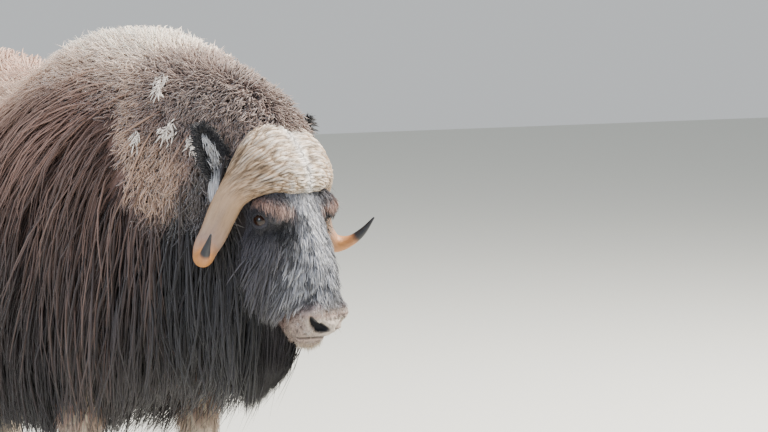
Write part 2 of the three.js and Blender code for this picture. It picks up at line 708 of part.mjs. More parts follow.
// The head with brow, muzzle, lips, lids, nostrils and the line of the mouth.
function head() {
  const parts = [headCore(), ...cheekLocks()];
  for (const side of [-1, 1]) {
    const brow = headLocal({ f: -54, out: 78, z: -36 }, side);
    parts.push(headEllipsoid(brow, [54, 42, 46], { turn: side * 0.35 }));
    const cheek = headLocal({ f: -92, out: 64, z: -128 }, side);
    parts.push(headEllipsoid(cheek, [70, 44, 84]));
    const wing = headLocal({ f: 42, out: 35, z: -284 }, side);
    parts.push(headEllipsoid(wing, [36, 30, 34], { turn: side * 0.4, nod: 0.15 }));
    const lids = new THREE.SphereGeometry(EYE.radius + LID_THICKNESS, 10, 7);
    parts.push(solidFrom(lids, new THREE.Matrix4().setPosition(eyeCentre(side))));
  }
  parts.push(headEllipsoid(new THREE.Vector3(24, 0, -318), [50, 58, 24], { across: 14 }));
  parts.push(headEllipsoid(new THREE.Vector3(26, 0, -350), [44, 42, 18]));
  let made = join(parts);
  for (const side of [-1, 1]) {
    const nostril = headLocal(NOSTRIL, side);
    made = made.subtract(headEllipsoid(nostril, [22, 9, 12], { turn: side * 0.7, nod: 0.5 }));
    const slit = headLocal({ f: NOSTRIL.f - 10, out: NOSTRIL.out + 14, z: NOSTRIL.z + 8 }, side);
    made = made.subtract(headEllipsoid(slit, [16, 6, 7], { turn: side * 1.0, nod: 0.4 }));
    made = made.subtract(eyeOpening(side)).subtract(eyeball(side, GAP));
    made = made.subtract(horn(side, GAP)).subtract(ear(side, GAP));
  }
  const slit = [74, 66, MOUTH_GAPE];
  const mouth = headEllipsoid(new THREE.Vector3(26, 0, MOUTH_HEIGHT), slit, { nod: 0.06, across: 16 });
  const inner = headEllipsoid(new THREE.Vector3(0, 0, MOUTH_HEIGHT), [58, 40, 30]);
  made = made.subtract(mouth.subtract(inner));
  const cut = headWay(1, 0, -NAPE_CUT.slope);
  return largest(keepSide(made, cut, headWorld({ f: NAPE_CUT.f, out: 0, z: 0 }, 1)));
}

// A leg as a stack of ovals, leaning with the joints.
function leg(shape, side, extra = 0) {
  const rings = shape.sections.map((s, i) => {
    const top = i === shape.sections.length - 1 ? extra : 0;
    return Array.from({ length: LEG_SIDES }, (_, k) => {
      const angle = (k / LEG_SIDES) * 2 * Math.PI;
      return new THREE.Vector3(
        shape.x + s.lean + (s.along + extra) * Math.cos(angle),
        side * shape.y + (s.across + extra) * Math.sin(angle),
        s.z + top,
      );
    });
  });
  const parts = [loft(rings)];
  for (const apart of [-1, 1]) {
    const at = new THREE.Vector3(shape.x - DEWCLAW.back, side * shape.y + apart * DEWCLAW.apart, DEWCLAW.z);
    const shapeAt = new THREE.Matrix4().setPosition(at).scale(new THREE.Vector3(1, 0.8, 1));
    parts.push(solidFrom(new THREE.SphereGeometry(DEWCLAW.radius, 6, 4), shapeAt));
  }
  return join(parts);
}

// A cloven hoof: two claws that meet under the coronet, flat underneath.
function hoof(shape, size, side) {
  const claws = [-1, 1].map((apart) => {
    const levels = [
      { z: 0, grow: 1, back: 0 },
      { z: 16, grow: 1.02, back: 0 },
      { z: 44, grow: 0.86, back: 7 },
      { z: 64, grow: 0.7, back: 12 },
    ];
    const rings = levels.map((level) =>
      Array.from({ length: CLAW_SIDES }, (_, k) => {
        const angle = (k / CLAW_SIDES) * 2 * Math.PI;
        const toe = Math.cos(angle) > 0 ? 1.08 : 0.9;
        return new THREE.Vector3(
          shape.x + 6 - level.back + size.long * toe * level.grow * Math.cos(angle),
          side * shape.y + apart * size.apart + size.wide * level.grow * Math.sin(angle),
          level.z,
        );
      }),
    );
    return loft(rings);
  });
  const coronet = [
    { z: 46, along: 42, across: 40 },
    { z: HOOF_HEIGHT - GAP, along: 47, across: 45 },
  ].map((s) =>
    Array.from({ length: CLAW_SIDES }, (_, k) => {
      const angle = (k / CLAW_SIDES) * 2 * Math.PI;
      return new THREE.Vector3(
        shape.x + s.along * Math.cos(angle),
        side * shape.y + s.across * Math.sin(angle),
        s.z,
      );
    }),
  );
  return join([...claws, loft(coronet)]);
}

// A short tail, a flat tuft that hangs close to the rump between its locks.
function tail(extra = 0) {
  const root = surfacePoint(bodyDistance, new THREE.Vector3(-900, 0, 1040), new THREE.Vector3(-1, 0, 0));
  const path = [
    root.clone().add(new THREE.Vector3(30, 0, 30)),
    root.clone().add(new THREE.Vector3(-30, 0, 0)),
    root.clone().add(new THREE.Vector3(-58, 0, -60)),
    root.clone().add(new THREE.Vector3(-62, 0, -120)),
    root.clone().add(new THREE.Vector3(-58, 0, -180)),
  ];
  path[path.length - 1].z -= 3 * extra;
  for (const p of path) p.x += extra / 2;
  const outward = path.map(() => new THREE.Vector3(-1, 0, 0.3));
  return lock(path, outward, TAIL_WIDTH + 8 * extra);
}

// The trunk is modelled whole, with its coat, and then parted with thin cuts.
function trunkPieces(cutters) {
  const coat = [
    ...sideLocks(),
    ...clumps(HUMP_ROWS, HUMP_CLUMP),
    ...clumps(BACK_ROWS, BACK_CLUMP),
    ...rumpLocks(),
    ...collarLocks(COLLAR),
    ...collarLocks(THROAT),
    ...chestLocks(),
    ...beardLocks(),
  ];
  let whole = join([bodyCore(), ...coat]);
  for (const cutter of cutters) whole = whole.subtract(cutter);
  const [X, Y] = [new THREE.Vector3(1, 0, 0), new THREE.Vector3(0, 1, 0)];
  const nape = headWay(-1, 0, NAPE_CUT.slope);
  const napePoint = headWorld({ f: NAPE_CUT.f, out: 0, z: 0 }, 1);
  const neckCut = new THREE.Vector3(NECK_CUT, 0, 0);
  const rumpCut = new THREE.Vector3(RUMP_CUT, 0, 0);
  const rightCut = new THREE.Vector3(0, -FLANK_CUT, 0);
  const leftCut = new THREE.Vector3(0, FLANK_CUT, 0);
  const neck = keepSide(keepSide(whole, X, neckCut), nape, napePoint);
  const rump = keepSide(whole, X.clone().negate(), rumpCut);
  const middle = keepSide(keepSide(whole, X.clone().negate(), neckCut), X, rumpCut);
  const right = keepSide(middle, Y.clone().negate(), rightCut);
  const left = keepSide(middle, Y, leftCut);
  const back = keepSide(keepSide(middle, Y, rightCut), Y.clone().negate(), leftCut);
  return { neck, rump, back, flank_right: right, flank_left: left };
}

// A named mesh from a solid.
function mesh(name, shape, colour, roughness) {
  const data = largest(shape).getMesh();
  const at = new Float32Array(data.numVert * 3);
  for (let i = 0; i < data.numVert; i += 1)
    at.set(data.vertProperties.subarray(i * data.numProp, i * data.numProp + 3), i * 3);
  const geometry = new THREE.BufferGeometry();
  geometry.setAttribute("position", new THREE.BufferAttribute(at, 3));
  geometry.setIndex(new THREE.BufferAttribute(data.triVerts, 1));
  const material = new THREE.MeshStandardMaterial({ color: colour, roughness, metalness: 0 });
  const made = new THREE.Mesh(geometry, material);
  made.name = name;
  return made;
}

const COAT = "#3b2c26";
const WOOL = "#8d7563";
const FACE = "#3d3b3e";
const HORN = "#c0a88f";
const EAR = "#23201f";
const EYE_BROWN = "#20140d";
const STOCKING = "#b9a78f";
const HOOF = "#2b2724";

const SIDES = [
  ["right", -1],
  ["left", 1],
];
const group = new THREE.Group();
const cutters = [tail(2)];
for (const [, side] of SIDES) {
  cutters.push(leg(FORE_LEG, side, GAP), leg(HIND_LEG, side, GAP), horn(side, GAP), ear(side, GAP));
}
const trunk = trunkPieces(cutters);
group.add(mesh("neck", trunk.neck, COAT, 0.9));
group.add(mesh("back", trunk.back, WOOL, 0.95));
group.add(mesh("rump", trunk.rump, COAT, 0.9));
group.add(mesh("flank_right", trunk.flank_right, COAT, 0.9));
group.add(mesh("flank_left", trunk.flank_left, COAT, 0.9));
group.add(mesh("head", head(), FACE, 0.85));
group.add(mesh("tail", tail(), COAT, 0.9));
for (const [name, side] of SIDES) {
  group.add(mesh(`horn_${name}`, horn(side), HORN, 0.55));
  group.add(mesh(`ear_${name}`, ear(side), EAR, 0.9));
  group.add(mesh(`eye_${name}`, eyeball(side), EYE_BROWN, 0.1));
  group.add(mesh(`fore_leg_${name}`, leg(FORE_LEG, side), STOCKING, 0.9));
  group.add(mesh(`hind_leg_${name}`, leg(HIND_LEG, side), STOCKING, 0.9));
  group.add(mesh(`fore_hoof_${name}`, hoof(FORE_LEG, FORE_HOOF, side), HOOF, 0.6));
  group.add(mesh(`hind_hoof_${name}`, hoof(HIND_LEG, HIND_HOOF, side), HOOF, 0.6));
}

// The frame's origin is the middle of the whole animal's box, at the floor.
const box = new THREE.Box3().setFromObject(group);
const middle = box.getCenter(new THREE.Vector3());
for (const child of group.children) child.position.set(-middle.x, -middle.y, -box.min.z);

export default group;
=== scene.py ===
# %% [markdown]
# # A life-size bull muskox
#
# The animal stands with its head low and turned a little to its left. The rigid solids of
# the model give its size, its stance and the reach of its coat. This script dresses them: a
# skin, a coat of many thousand tapered tufts, horns with growth ridges, wet eyes and hooves.
# Lengths are metres, +X runs towards the head, +Y to the animal's left and +Z up.

# %% Load the solids and keep the size they have
import bpy
import math
import numpy as np
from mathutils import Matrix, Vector
from mathutils.bvhtree import BVHTree
from mathutils.kdtree import KDTree


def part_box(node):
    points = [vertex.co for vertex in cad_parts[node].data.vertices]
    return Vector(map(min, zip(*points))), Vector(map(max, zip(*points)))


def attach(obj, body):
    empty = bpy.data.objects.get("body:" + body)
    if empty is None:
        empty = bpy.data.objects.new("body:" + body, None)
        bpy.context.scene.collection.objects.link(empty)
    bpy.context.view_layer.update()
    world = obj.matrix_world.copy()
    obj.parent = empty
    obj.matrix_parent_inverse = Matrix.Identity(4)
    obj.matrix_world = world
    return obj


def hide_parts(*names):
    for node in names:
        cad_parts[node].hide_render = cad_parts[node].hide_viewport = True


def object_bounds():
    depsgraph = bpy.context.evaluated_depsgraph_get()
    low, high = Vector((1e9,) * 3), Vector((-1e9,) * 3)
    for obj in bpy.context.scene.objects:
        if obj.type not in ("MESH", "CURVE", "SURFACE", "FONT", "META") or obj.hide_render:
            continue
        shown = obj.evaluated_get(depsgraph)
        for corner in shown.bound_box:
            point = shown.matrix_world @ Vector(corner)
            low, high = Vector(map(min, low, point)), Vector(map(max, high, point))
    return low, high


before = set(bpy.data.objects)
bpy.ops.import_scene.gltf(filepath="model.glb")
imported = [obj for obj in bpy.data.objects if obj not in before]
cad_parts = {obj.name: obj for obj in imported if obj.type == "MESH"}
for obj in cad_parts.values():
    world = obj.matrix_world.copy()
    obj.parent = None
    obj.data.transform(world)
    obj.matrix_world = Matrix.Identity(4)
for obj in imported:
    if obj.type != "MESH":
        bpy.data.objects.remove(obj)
cad_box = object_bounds()
print("solids:", len(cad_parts), "box", [[round(v, 3) for v in corner] for corner in cad_box])

# %% [markdown]
# ## Colours
#
# Colours are written the way a paint chart gives them, as sRGB hex, and one function turns
# them into the linear values that a shader works with.

# %% One function for colours, and the chart of the animal
def linear(hex_colour):
    channels = np.array([int(hex_colour[i:i + 2], 16) / 255 for i in (1, 3, 5)])
    return np.where(channels <= 0.04045, channels / 12.92, ((channels + 0.055) / 1.055) ** 2.4)


CHART = {
    # the hump's top: pale wool, made near white as painted sunlight from above
    "wool_top": linear("#FFEFDC"),
    "wool": linear("#E8C6AA"),
    "mane": linear("#75564A"),
    "mantle": linear("#B8967E"),
    "saddle": linear("#D9B49D"),
    "flank": linear("#7C5F54"),
    "guard": linear("#2C1F1C"),
    "black": linear("#1A191D"),
    "grey": linear("#9B9DA4"),
    "face": linear("#403E44"),
    "pale": linear("#D6D5D6"),
    "muzzle": linear("#A89C8F"),
    "nose": linear("#947A72"),
    "brow": linear("#7C6259"),
    "stroke": linear("#B08C7C"),
    "stocking": linear("#BDAC96"),
}
print("colours on the chart:", len(CHART))

# %% [markdown]
# ## The form of the trunk and the head
#
# A coat has to know the body under it. The trunk is a row of upright sections, the head a
# row of sections down the line of the face, both with the solids' own sizes. From them come
# the skin, and for any point its distance from the skin, which combs the hair over the body.

# %% Sections of the trunk: place along the back, top, bottom, half width, bend to the left
TRUNK = np.array([
    (-1.082, 0.985, 0.840, 0.060, 0.000), (-1.060, 1.075, 0.720, 0.150, 0.000),
    (-1.000, 1.165, 0.600, 0.228, 0.000), (-0.880, 1.228, 0.520, 0.282, 0.000),
    (-0.700, 1.244, 0.480, 0.312, 0.000), (-0.430, 1.222, 0.455, 0.326, 0.000),
    (-0.150, 1.196, 0.450, 0.332, 0.000), (0.050, 1.222, 0.452, 0.330, 0.000),
    (0.180, 1.284, 0.458, 0.325, 0.000), (0.300, 1.318, 0.470, 0.314, 0.002),
    (0.440, 1.302, 0.500, 0.286, 0.028), (0.560, 1.264, 0.556, 0.246, 0.066),
    (0.640, 1.236, 0.590, 0.212, 0.098), (0.700, 1.204, 0.612, 0.180, 0.126),
    (0.745, 1.164, 0.640, 0.146, 0.146), (0.790, 1.100, 0.690, 0.098, 0.166),
    (0.822, 1.004, 0.770, 0.050, 0.180),
])
WIDEST = 0.42
SQUARE = 2.3

# %% Sections of the head: way down the face, set forward, half width, half depth
HEAD = np.array([
    (-0.172, -0.060, 0.042, 0.038), (-0.150, -0.030, 0.086, 0.076),
    (-0.090, -0.022, 0.106, 0.104), (-0.010, -0.012, 0.106, 0.122),
    (0.060, -0.006, 0.098, 0.124), (0.140, -0.004, 0.082, 0.106),
    (0.220, -0.002, 0.067, 0.082), (0.278, 0.000, 0.060, 0.068),
    (0.322, -0.002, 0.054, 0.058), (0.350, -0.010, 0.042, 0.044),
    (0.366, -0.026, 0.022, 0.024),
])
HEAD_ORIGIN = np.array([0.860, 0.200, 0.972])
HEAD_YAW = math.radians(20)
FACE_LEAN = math.radians(14)
EYE = np.array([-0.064, 0.103, -0.058])
EYE_RADIUS = 0.019


# %% A smooth curve through the sections, for many places at once
def along(table, place):
    keys = table[:, 0]
    i = np.clip(np.searchsorted(keys, place, side="right") - 1, 0, len(keys) - 2)
    last = len(keys) - 1
    p, q = table[i], table[i + 1]
    before, after = table[np.maximum(i - 1, 0)], table[np.minimum(i + 2, last)]
    span = q[:, :1] - p[:, :1]
    t = np.clip((place[:, None] - p[:, :1]) / span, 0, 1)
    start = (q - before) / (q[:, :1] - before[:, :1]) * span
    end = (after - p) / (after[:, :1] - p[:, :1]) * span
    t2, t3 = t * t, t * t * t
    return (2 * t3 - 3 * t2 + 1) * p + (t3 - 2 * t2 + t) * start + (3 * t2 - 2 * t3) * q + (t3 - t2) * end


# %% Small helpers: a unit vector, a soft bell round nought and a soft step
def unit(v):
    return v / (np.linalg.norm(v, axis=-1, keepdims=True) + 1e-12)


def bell(distance, width):
    return np.exp(-(distance / width) ** 2)


def smooth_step(value, low, high):
    t = np.clip((value - low) / (high - low), 0, 1)
    return t * t * (3 - 2 * t)


# %% Head directions to world directions and back, with the solids' own place in the frame
TURN = np.array([[math.cos(HEAD_YAW), -math.sin(HEAD_YAW), 0],
                 [math.sin(HEAD_YAW), math.cos(HEAD_YAW), 0], [0, 0, 1]])
DOWN = np.array([math.sin(FACE_LEAN), 0, -math.cos(FACE_LEAN)])
AHEAD = np.array([math.cos(FACE_LEAN), 0, math.sin(FACE_LEAN)])


def head_way(v):
    return np.asarray(v, float) @ TURN.T


eye_low, eye_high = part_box("eye_right")
eye_place = (np.array(eye_low) + np.array(eye_high)) / 2
SHIFT = eye_place - (HEAD_ORIGIN + head_way(EYE * (1, -1, 1)))


def head_point(v):
    return HEAD_ORIGIN + SHIFT + head_way(v)


def to_head(p):
    return (p - HEAD_ORIGIN - SHIFT) @ TURN


print("the frame stands at", SHIFT.round(4))


# %% Distance from the trunk and from the head, outside positive
def trunk_section(x):
    top, bottom, half, side = along(TRUNK, x)[:, 1:].T
    return top, bottom, half, side, bottom + (top - bottom) * WIDEST


def trunk_distance(p):
    q = p - SHIFT
    x = np.clip(q[:, 0], TRUNK[0, 0], TRUNK[-1, 0])
    top, bottom, half, side, widest = trunk_section(x)
    dy, dz = q[:, 1] - side, q[:, 2] - widest
    high = np.where(dz > 0, top - widest, widest - bottom)
    r = (np.abs(dy / half) ** SQUARE + np.abs(dz / high) ** SQUARE) ** (1 / SQUARE) + 1e-9
    flat = np.hypot(dy, dz) * (1 - 1 / r)
    return np.hypot(np.maximum(flat, 0), q[:, 0] - x) + np.minimum(flat, 0)


def head_distance(p):
    q = to_head(p)
    down = np.clip(q @ DOWN, HEAD[0, 0], HEAD[-1, 0])
    s = along(HEAD, down)
    ahead = q @ AHEAD - (s[:, 1] - s[:, 3])
    r = np.hypot(q[:, 1] / s[:, 2], ahead / s[:, 3]) + 1e-9
    flat = np.hypot(q[:, 1], ahead) * (1 - 1 / r)
    return np.hypot(np.maximum(flat, 0), q @ DOWN - down) + np.minimum(flat, 0)


def outwards(distance, p, step=0.004):
    return unit(np.stack([distance(p + step * a) - distance(p - step * a) for a in np.eye(3)], 1))


# %% [markdown]
# ## Materials of hair, skin, horn, eye and hoof
#
# Every tuft carries its own colour as an attribute of its points, so that one hair material
# serves the whole coat. The shader adds what a colour can't: a fine change of tone along
# the strand, a soft shine, and the glow of light that passes through wool.

# %% A helper that starts a material with its shader, and one that adds a node
def new_material(name, **values):
    material = bpy.data.materials.new(name)
    material.use_nodes = True
    shader = material.node_tree.nodes["Principled BSDF"]
    for key, value in values.items():
        shader.inputs[key].default_value = value
    return material, material.node_tree, shader


def add_node(tree, kind, inputs=None, **settings):
    made = tree.nodes.new(kind)
    for key, value in settings.items():
        setattr(made, key, value)
    for key, value in (inputs or {}).items():
        if isinstance(value, bpy.types.NodeSocket):
            tree.links.new(value, made.inputs[key])
        else:
            made.inputs[key].default_value = value
    return made


# %% Hair: the tuft's own colour, parted into single hairs by noise stretched along the tuft
SHORT_HAIR_SCALE = 180  # patches to a metre: one for every 5.5 mm, the width of a tuft


def hair_material(name, roughness, sheen, strands=True):
    material, tree, shader = new_material(
        name, **{"Roughness": roughness, "Sheen Weight": sheen, "Sheen Roughness": 0.5,
                 "Specular IOR Level": 0.3})
    colour = add_node(tree, "ShaderNodeAttribute", attribute_name="tone")
    if strands:
        place = add_node(tree, "ShaderNodeAttribute", attribute_name="strand").outputs["Vector"]
    else:
        place = add_node(tree, "ShaderNodeTexCoord").outputs["Object"]
    noise = add_node(tree, "ShaderNodeTexNoise",
                     {"Vector": place, "Scale": 1.0 if strands else SHORT_HAIR_SCALE, "Detail": 3})
    spread = add_node(tree, "ShaderNodeMapRange", {
        "Value": noise.outputs["Fac"], "From Min": 0.3, "From Max": 0.7,
        "To Min": 0.55 if strands else 0.8, "To Max": 1.45 if strands else 1.2})
    mixed = add_node(tree, "ShaderNodeVectorMath",
                     {0: colour.outputs["Color"], "Scale": spread.outputs["Result"]}, operation="SCALE")
    tree.links.new(mixed.outputs["Vector"], shader.inputs["Base Color"])
    return material


GUARD_HAIR = hair_material("guard_hair", 0.52, 0.10)  # straight and smooth: a soft, long shine
WOOL = hair_material("underwool", 0.85, 0.35)  # crimped and matt: light spreads at its edges
SHORT_HAIR = hair_material("short_face_hair", 0.60, 0.12)  # fine and laid flat: a dull shine


# %% Skin: the same tone under the hair, with a fine bump of pores and short hair
PORE_SCALE = 420  # patches to a metre: one for every 2.4 mm, as coarse as pores have to be to show


def skin_material():
    material = hair_material("skin", 0.7, 0.08, strands=False)
    tree = material.node_tree
    place = add_node(tree, "ShaderNodeTexCoord")
    pores = add_node(tree, "ShaderNodeTexNoise",
                     {"Vector": place.outputs["Object"], "Scale": PORE_SCALE, "Detail": 4})
    bump = add_node(tree, "ShaderNodeBump",
                    {"Height": pores.outputs["Fac"], "Strength": 0.35, "Distance": 0.0012})
    tree.links.new(bump.outputs["Normal"], tree.nodes["Principled BSDF"].inputs["Normal"])
    return material


SKIN = skin_material()
print("materials:", GUARD_HAIR.name, WOOL.name, SHORT_HAIR.name, SKIN.name)

# %% [markdown]
# ## The camera, the floor and the light
#
# The picture was taken with a long lens from a little above the animal's head, from its
# right front. The frame cuts off the rump and the feet, so the camera does the same here.

# %% Camera
AIM = np.array([0.951, 0.357, 0.920]) + SHIFT
ELEVATION = math.radians(5)
BEARING = np.array([0.8660254, -0.5])  # 30 degrees off the animal's axis, to its right
DISTANCE = 9.0
TOWARDS = np.array([*(BEARING * math.cos(ELEVATION)), math.sin(ELEVATION)])
camera = bpy.data.objects.new("camera", bpy.data.cameras.new("camera"))
bpy.context.scene.collection.objects.link(camera)
camera.location = Vector(AIM + DISTANCE * TOWARDS)
camera.rotation_euler = Vector(-TOWARDS).to_track_quat("-Z", "Y").to_euler()
camera.data.lens = 174
camera.data.sensor_width = 36
camera.data.clip_end = 60
bpy.context.scene.camera = camera


# %% Floor and lights: one broad sky light, a sun-like key from behind, a fill at the face
def plain_object(name, vertices, faces):
    mesh = bpy.data.meshes.new(name)
    mesh.from_pydata([tuple(map(float, v)) for v in vertices], [],
                     [tuple(map(int, f)) for f in faces])
    made = bpy.data.objects.new(name, mesh)
    bpy.context.scene.collection.objects.link(made)
    return made


floor = plain_object("floor", [(-14, -14, 0), (14, -14, 0), (14, 14, 0), (-14, 14, 0)], [(0, 1, 2, 3)])
pale, tree, shader = new_material("pale_floor", Roughness=0.9)
shader.inputs["Base Color"].default_value = (*linear("#D5D6CF"), 1)
floor.data.materials.append(pale)


def area_light(name, place, target, size, power, colour):
    light = bpy.data.lights.new(name, "AREA")
    light.size, light.energy = size, power
    light.color = tuple(linear(colour))
    made = bpy.data.objects.new(name, light)
    made.location = Vector(place)
    made.rotation_euler = (Vector(target) - Vector(place)).to_track_quat("-Z", "Y").to_euler()
    bpy.context.scene.collection.objects.link(made)


area_light("key", (1.5, 4.5, 5.5), (0.2, 0, 0.9), 3.0, 1850, "#FFF8F0")
area_light("fill", (5.5, -5.5, 3.2), (0.6, 0, 0.9), 3.4, 380, "#E0EAFF")
area_light("side", (-3.0, -5.5, 4.0), (-0.2, 0, 0.9), 4.0, 260, "#FFFFFF")
world = bpy.data.worlds.new("studio")
world.use_nodes = True
world.node_tree.nodes["Background"].inputs["Color"].default_value = (0.83, 0.86, 0.88, 1)
world.node_tree.nodes["Background"].inputs["Strength"].default_value = 0.75
bpy.context.scene.world = world
print("camera at", [round(v, 2) for v in camera.location])

# %% [markdown]
# ## The skin
#
# Under the coat lies one closed skin. It could be sculpted by hand, but lofts through the
# sections keep the sizes of the solids. Trunk and legs are welded by a remesh so that no seam
# shows, and smoothed. The head is remeshed finer, because lids, nostrils and lips are small.

# %% A loft from rings of points, each end closed on its middle
def loft(rings):
    rings = np.asarray(rings)
    count, sides = rings.shape[:2]
    points = np.vstack([rings.reshape(-1, 3), rings[0].mean(0), rings[-1].mean(0)])
    a = np.arange(sides)
    b = (a + 1) % sides
    faces = []
    for r in range(count - 1):
        low, high = r * sides, (r + 1) * sides
        faces += [(low + i, low + j, high + j, high + i) for i, j in zip(a, b)]
    faces += [(j, i, len(points) - 2) for i, j in zip(a, b)]
    top = (count - 1) * sides
    faces += [(top + i, top + j, len(points) - 1) for i, j in zip(a, b)]
    return points, faces


def power(value, exponent):
    return np.sign(value) * np.abs(value) ** exponent


# %% Trunk and legs
def trunk_rings(count=90, sides=64):
    t = np.linspace(0, 1, count)
    x = TRUNK[0, 0] + (TRUNK[-1, 0] - TRUNK[0, 0]) * (t - np.sin(2 * np.pi * t) * 0.09)
    top, bottom, half, side, widest = trunk_section(x)
    angle = np.linspace(0, 2 * np.pi, sides, endpoint=False)
    c, s = power(np.cos(angle), 2 / SQUARE), power(np.sin(angle), 2 / SQUARE)
    y = side[:, None] + half[:, None] * s
    high = np.where(c[None] > 0, (top - widest)[:, None], (widest - bottom)[:, None])
    z = widest[:, None] + high * c
    return np.stack([np.broadcast_to(x[:, None], y.shape), y, z], -1) + SHIFT


# A leg: place of its foot along and across, then height, set forward and two half widths.
FORE_LEG = (0.335, 0.166, [
    (0.070, 0.000, 0.049, 0.047), (0.112, -0.006, 0.043, 0.041), (0.200, -0.008, 0.042, 0.040),
    (0.300, -0.002, 0.054, 0.050), (0.360, 0.000, 0.054, 0.050), (0.440, -0.006, 0.066, 0.054),
    (0.560, -0.020, 0.082, 0.058)])
HIND_LEG = (-0.800, 0.158, [
    (0.070, 0.000, 0.047, 0.045), (0.112, -0.008, 0.042, 0.040), (0.210, -0.030, 0.043, 0.040),
    (0.310, -0.052, 0.056, 0.046), (0.380, -0.046, 0.062, 0.050), (0.470, -0.010, 0.082, 0.058),
    (0.590, 0.040, 0.110, 0.064)])
UNDER_HAIR = 0.003  # the skin lies this much inside the solid leg


def leg_rings(leg, side, count=30, sides=28):
    x, y, sections = leg
    table = np.array(sections)
    s = along(table, np.linspace(table[0, 0], table[-1, 0], count))
    angle = np.linspace(0, 2 * np.pi, sides, endpoint=False)
    tendon = 1 + 0.08 * np.cos(2 * angle)
    rx = x + s[:, 1:2] + (s[:, 2:3] - UNDER_HAIR) * np.cos(angle) * tendon
    ry = side * y + (s[:, 3:4] - UNDER_HAIR) * np.sin(angle)
    return np.stack([rx, ry, np.broadcast_to(s[:, :1], rx.shape)], -1) + SHIFT


# %% Join solids and weld them with a remesh
def welded(name, parts, voxel, smooth):
    points, faces, start = [], [], 0
    for p, f in parts:
        points.append(p)
        faces += [tuple(i + start for i in face) for face in f]
        start += len(p)
    made = plain_object(name, np.vstack(points), faces)
    remesh = made.modifiers.new("weld", "REMESH")
    remesh.mode, remesh.voxel_size = "VOXEL", voxel
    soften = made.modifiers.new("soften", "SMOOTH")
    soften.factor, soften.iterations = 0.5, smooth
    mesh = bpy.data.meshes.new_from_object(made.evaluated_get(bpy.context.evaluated_depsgraph_get()))
    made.modifiers.clear()
    made.data = mesh
    return made


def coordinates(mesh):
    co = np.empty(len(mesh.vertices) * 3)
    mesh.vertices.foreach_get("co", co)
    return co.reshape(-1, 3)


SIDES = (("right", -1), ("left", 1))
BODY_VOXEL, HEAD_VOXEL = 0.0115, 0.0034
parts = [loft(trunk_rings())]
for word, side in SIDES:
    parts += [loft(leg_rings(FORE_LEG, side)), loft(leg_rings(HIND_LEG, side))]
body = welded("body_skin", parts, BODY_VOXEL, 6)
print("trunk and legs:", len(body.data.polygons), "faces")


# %% The head's solids: skull, brows, cheeks, muzzle, lips and chin
def ball(middle, radii, turn=0.0, nod=0.0, count=20, sides=28):
    t = np.linspace(0.04, np.pi - 0.04, count)
    a = np.linspace(0, 2 * np.pi, sides, endpoint=False)
    p = np.stack([np.sin(t)[:, None] * np.cos(a), np.sin(t)[:, None] * np.sin(a),
                  np.broadcast_to(np.cos(t)[:, None], (count, sides))], -1) * radii
    cn, sn, ct, st = math.cos(nod), math.sin(nod), math.cos(turn), math.sin(turn)
    nodded = np.array([[cn, 0, sn], [0, 1, 0], [-sn, 0, cn]])
    turned = np.array([[ct, -st, 0], [st, ct, 0], [0, 0, 1]])
    p = p @ nodded.T @ turned.T
    return loft(head_point(p + middle))


def skull_rings(count=46, sides=48):
    s = along(HEAD, np.linspace(HEAD[0, 0], HEAD[-1, 0], count))
    angle = np.linspace(0, 2 * np.pi, sides, endpoint=False)
    deep = s[:, 3:4] * power(np.cos(angle), 2 / SQUARE)
    wide = s[:, 2:3] * power(np.sin(angle), 2 / SQUARE)
    p = s[:, :1, None] * DOWN + (s[:, 1:2] - s[:, 3:4] + deep)[..., None] * AHEAD
    p[..., 1] = wide
    return head_point(p)


head_parts = [loft(skull_rings())]
for word, side in SIDES:
    m = (1, side, 1)
    head_parts += [
        ball(np.array([-0.054, 0.078, -0.036]) * m, (0.052, 0.041, 0.045), turn=side * 0.35),
        ball(np.array([-0.092, 0.064, -0.128]) * m, (0.070, 0.044, 0.084)),
        ball(np.array([0.040, 0.035, -0.284]) * m, (0.036, 0.030, 0.034), turn=side * 0.4, nod=0.15),
        ball(EYE * m, (0.0245, 0.0245, 0.0245)),
    ]
head_parts += [ball((0.024, 0, -0.318), (0.050, 0.058, 0.024)),
               ball((0.026, 0, -0.350), (0.044, 0.042, 0.018))]
head = welded("head_skin", head_parts, HEAD_VOXEL, 8)
print("head:", len(head.data.polygons), "faces")

# %% [markdown]
# ### The face
#
# A remeshed head is still a set of soft lumps. Small moves of its points give it what makes
# a face: the hollow before the eye, thick lids round an almond opening, comma-shaped
# nostrils, the cleft of the upper lip and the line of the mouth.

# %% The nostril, the lids and the mouth line, in the head's own directions
NOSTRIL = np.array([0.061, 0.039, -0.314])


def nostril_mark(q, side):
    normal = np.array([0.78, 0.60 * side, -0.12])
    normal /= np.linalg.norm(normal)
    long_way = np.array([-0.50, 0.62 * side, 0.50])
    long_way -= normal * (long_way @ normal)
    long_way /= np.linalg.norm(long_way)
    d = q - NOSTRIL * (1, side, 1)
    a, b = d @ long_way, d @ np.cross(normal, long_way) * side
    b = b - 9.0 * (a + 0.006) ** 2
    return np.hypot(a / 0.0345, b / np.where(a < 0, 0.0140, 0.0100)), normal


OPENING = (0.0190, 0.0168, 0.0156)  # half sizes of the lids' opening: across, up, down
TILT = 0.10  # rise of the opening for its length, towards its outer corner


def eye_axes(side):
    gaze = unit(np.array([0.38, side * 0.92, 0.02]))
    across = unit(np.cross((0, 0, 1), gaze))
    return gaze, across, np.cross(gaze, across)


def mirrored(q):
    return np.stack([q[:, 0], np.abs(q[:, 1]), q[:, 2]], 1)


def near_eye(q):
    return np.linalg.norm(mirrored(q) - EYE, axis=1)


def mouth_line(q):
    return np.abs(q[:, 2] + 0.343 - 0.10 * np.maximum(-q[:, 0] + 0.02, 0) + 1.1 * q[:, 1] ** 2)


# %% Moves of the head's points
def swelling(q, place, radii):
    return bell(np.linalg.norm((q - place) / radii, axis=1), 1.0)


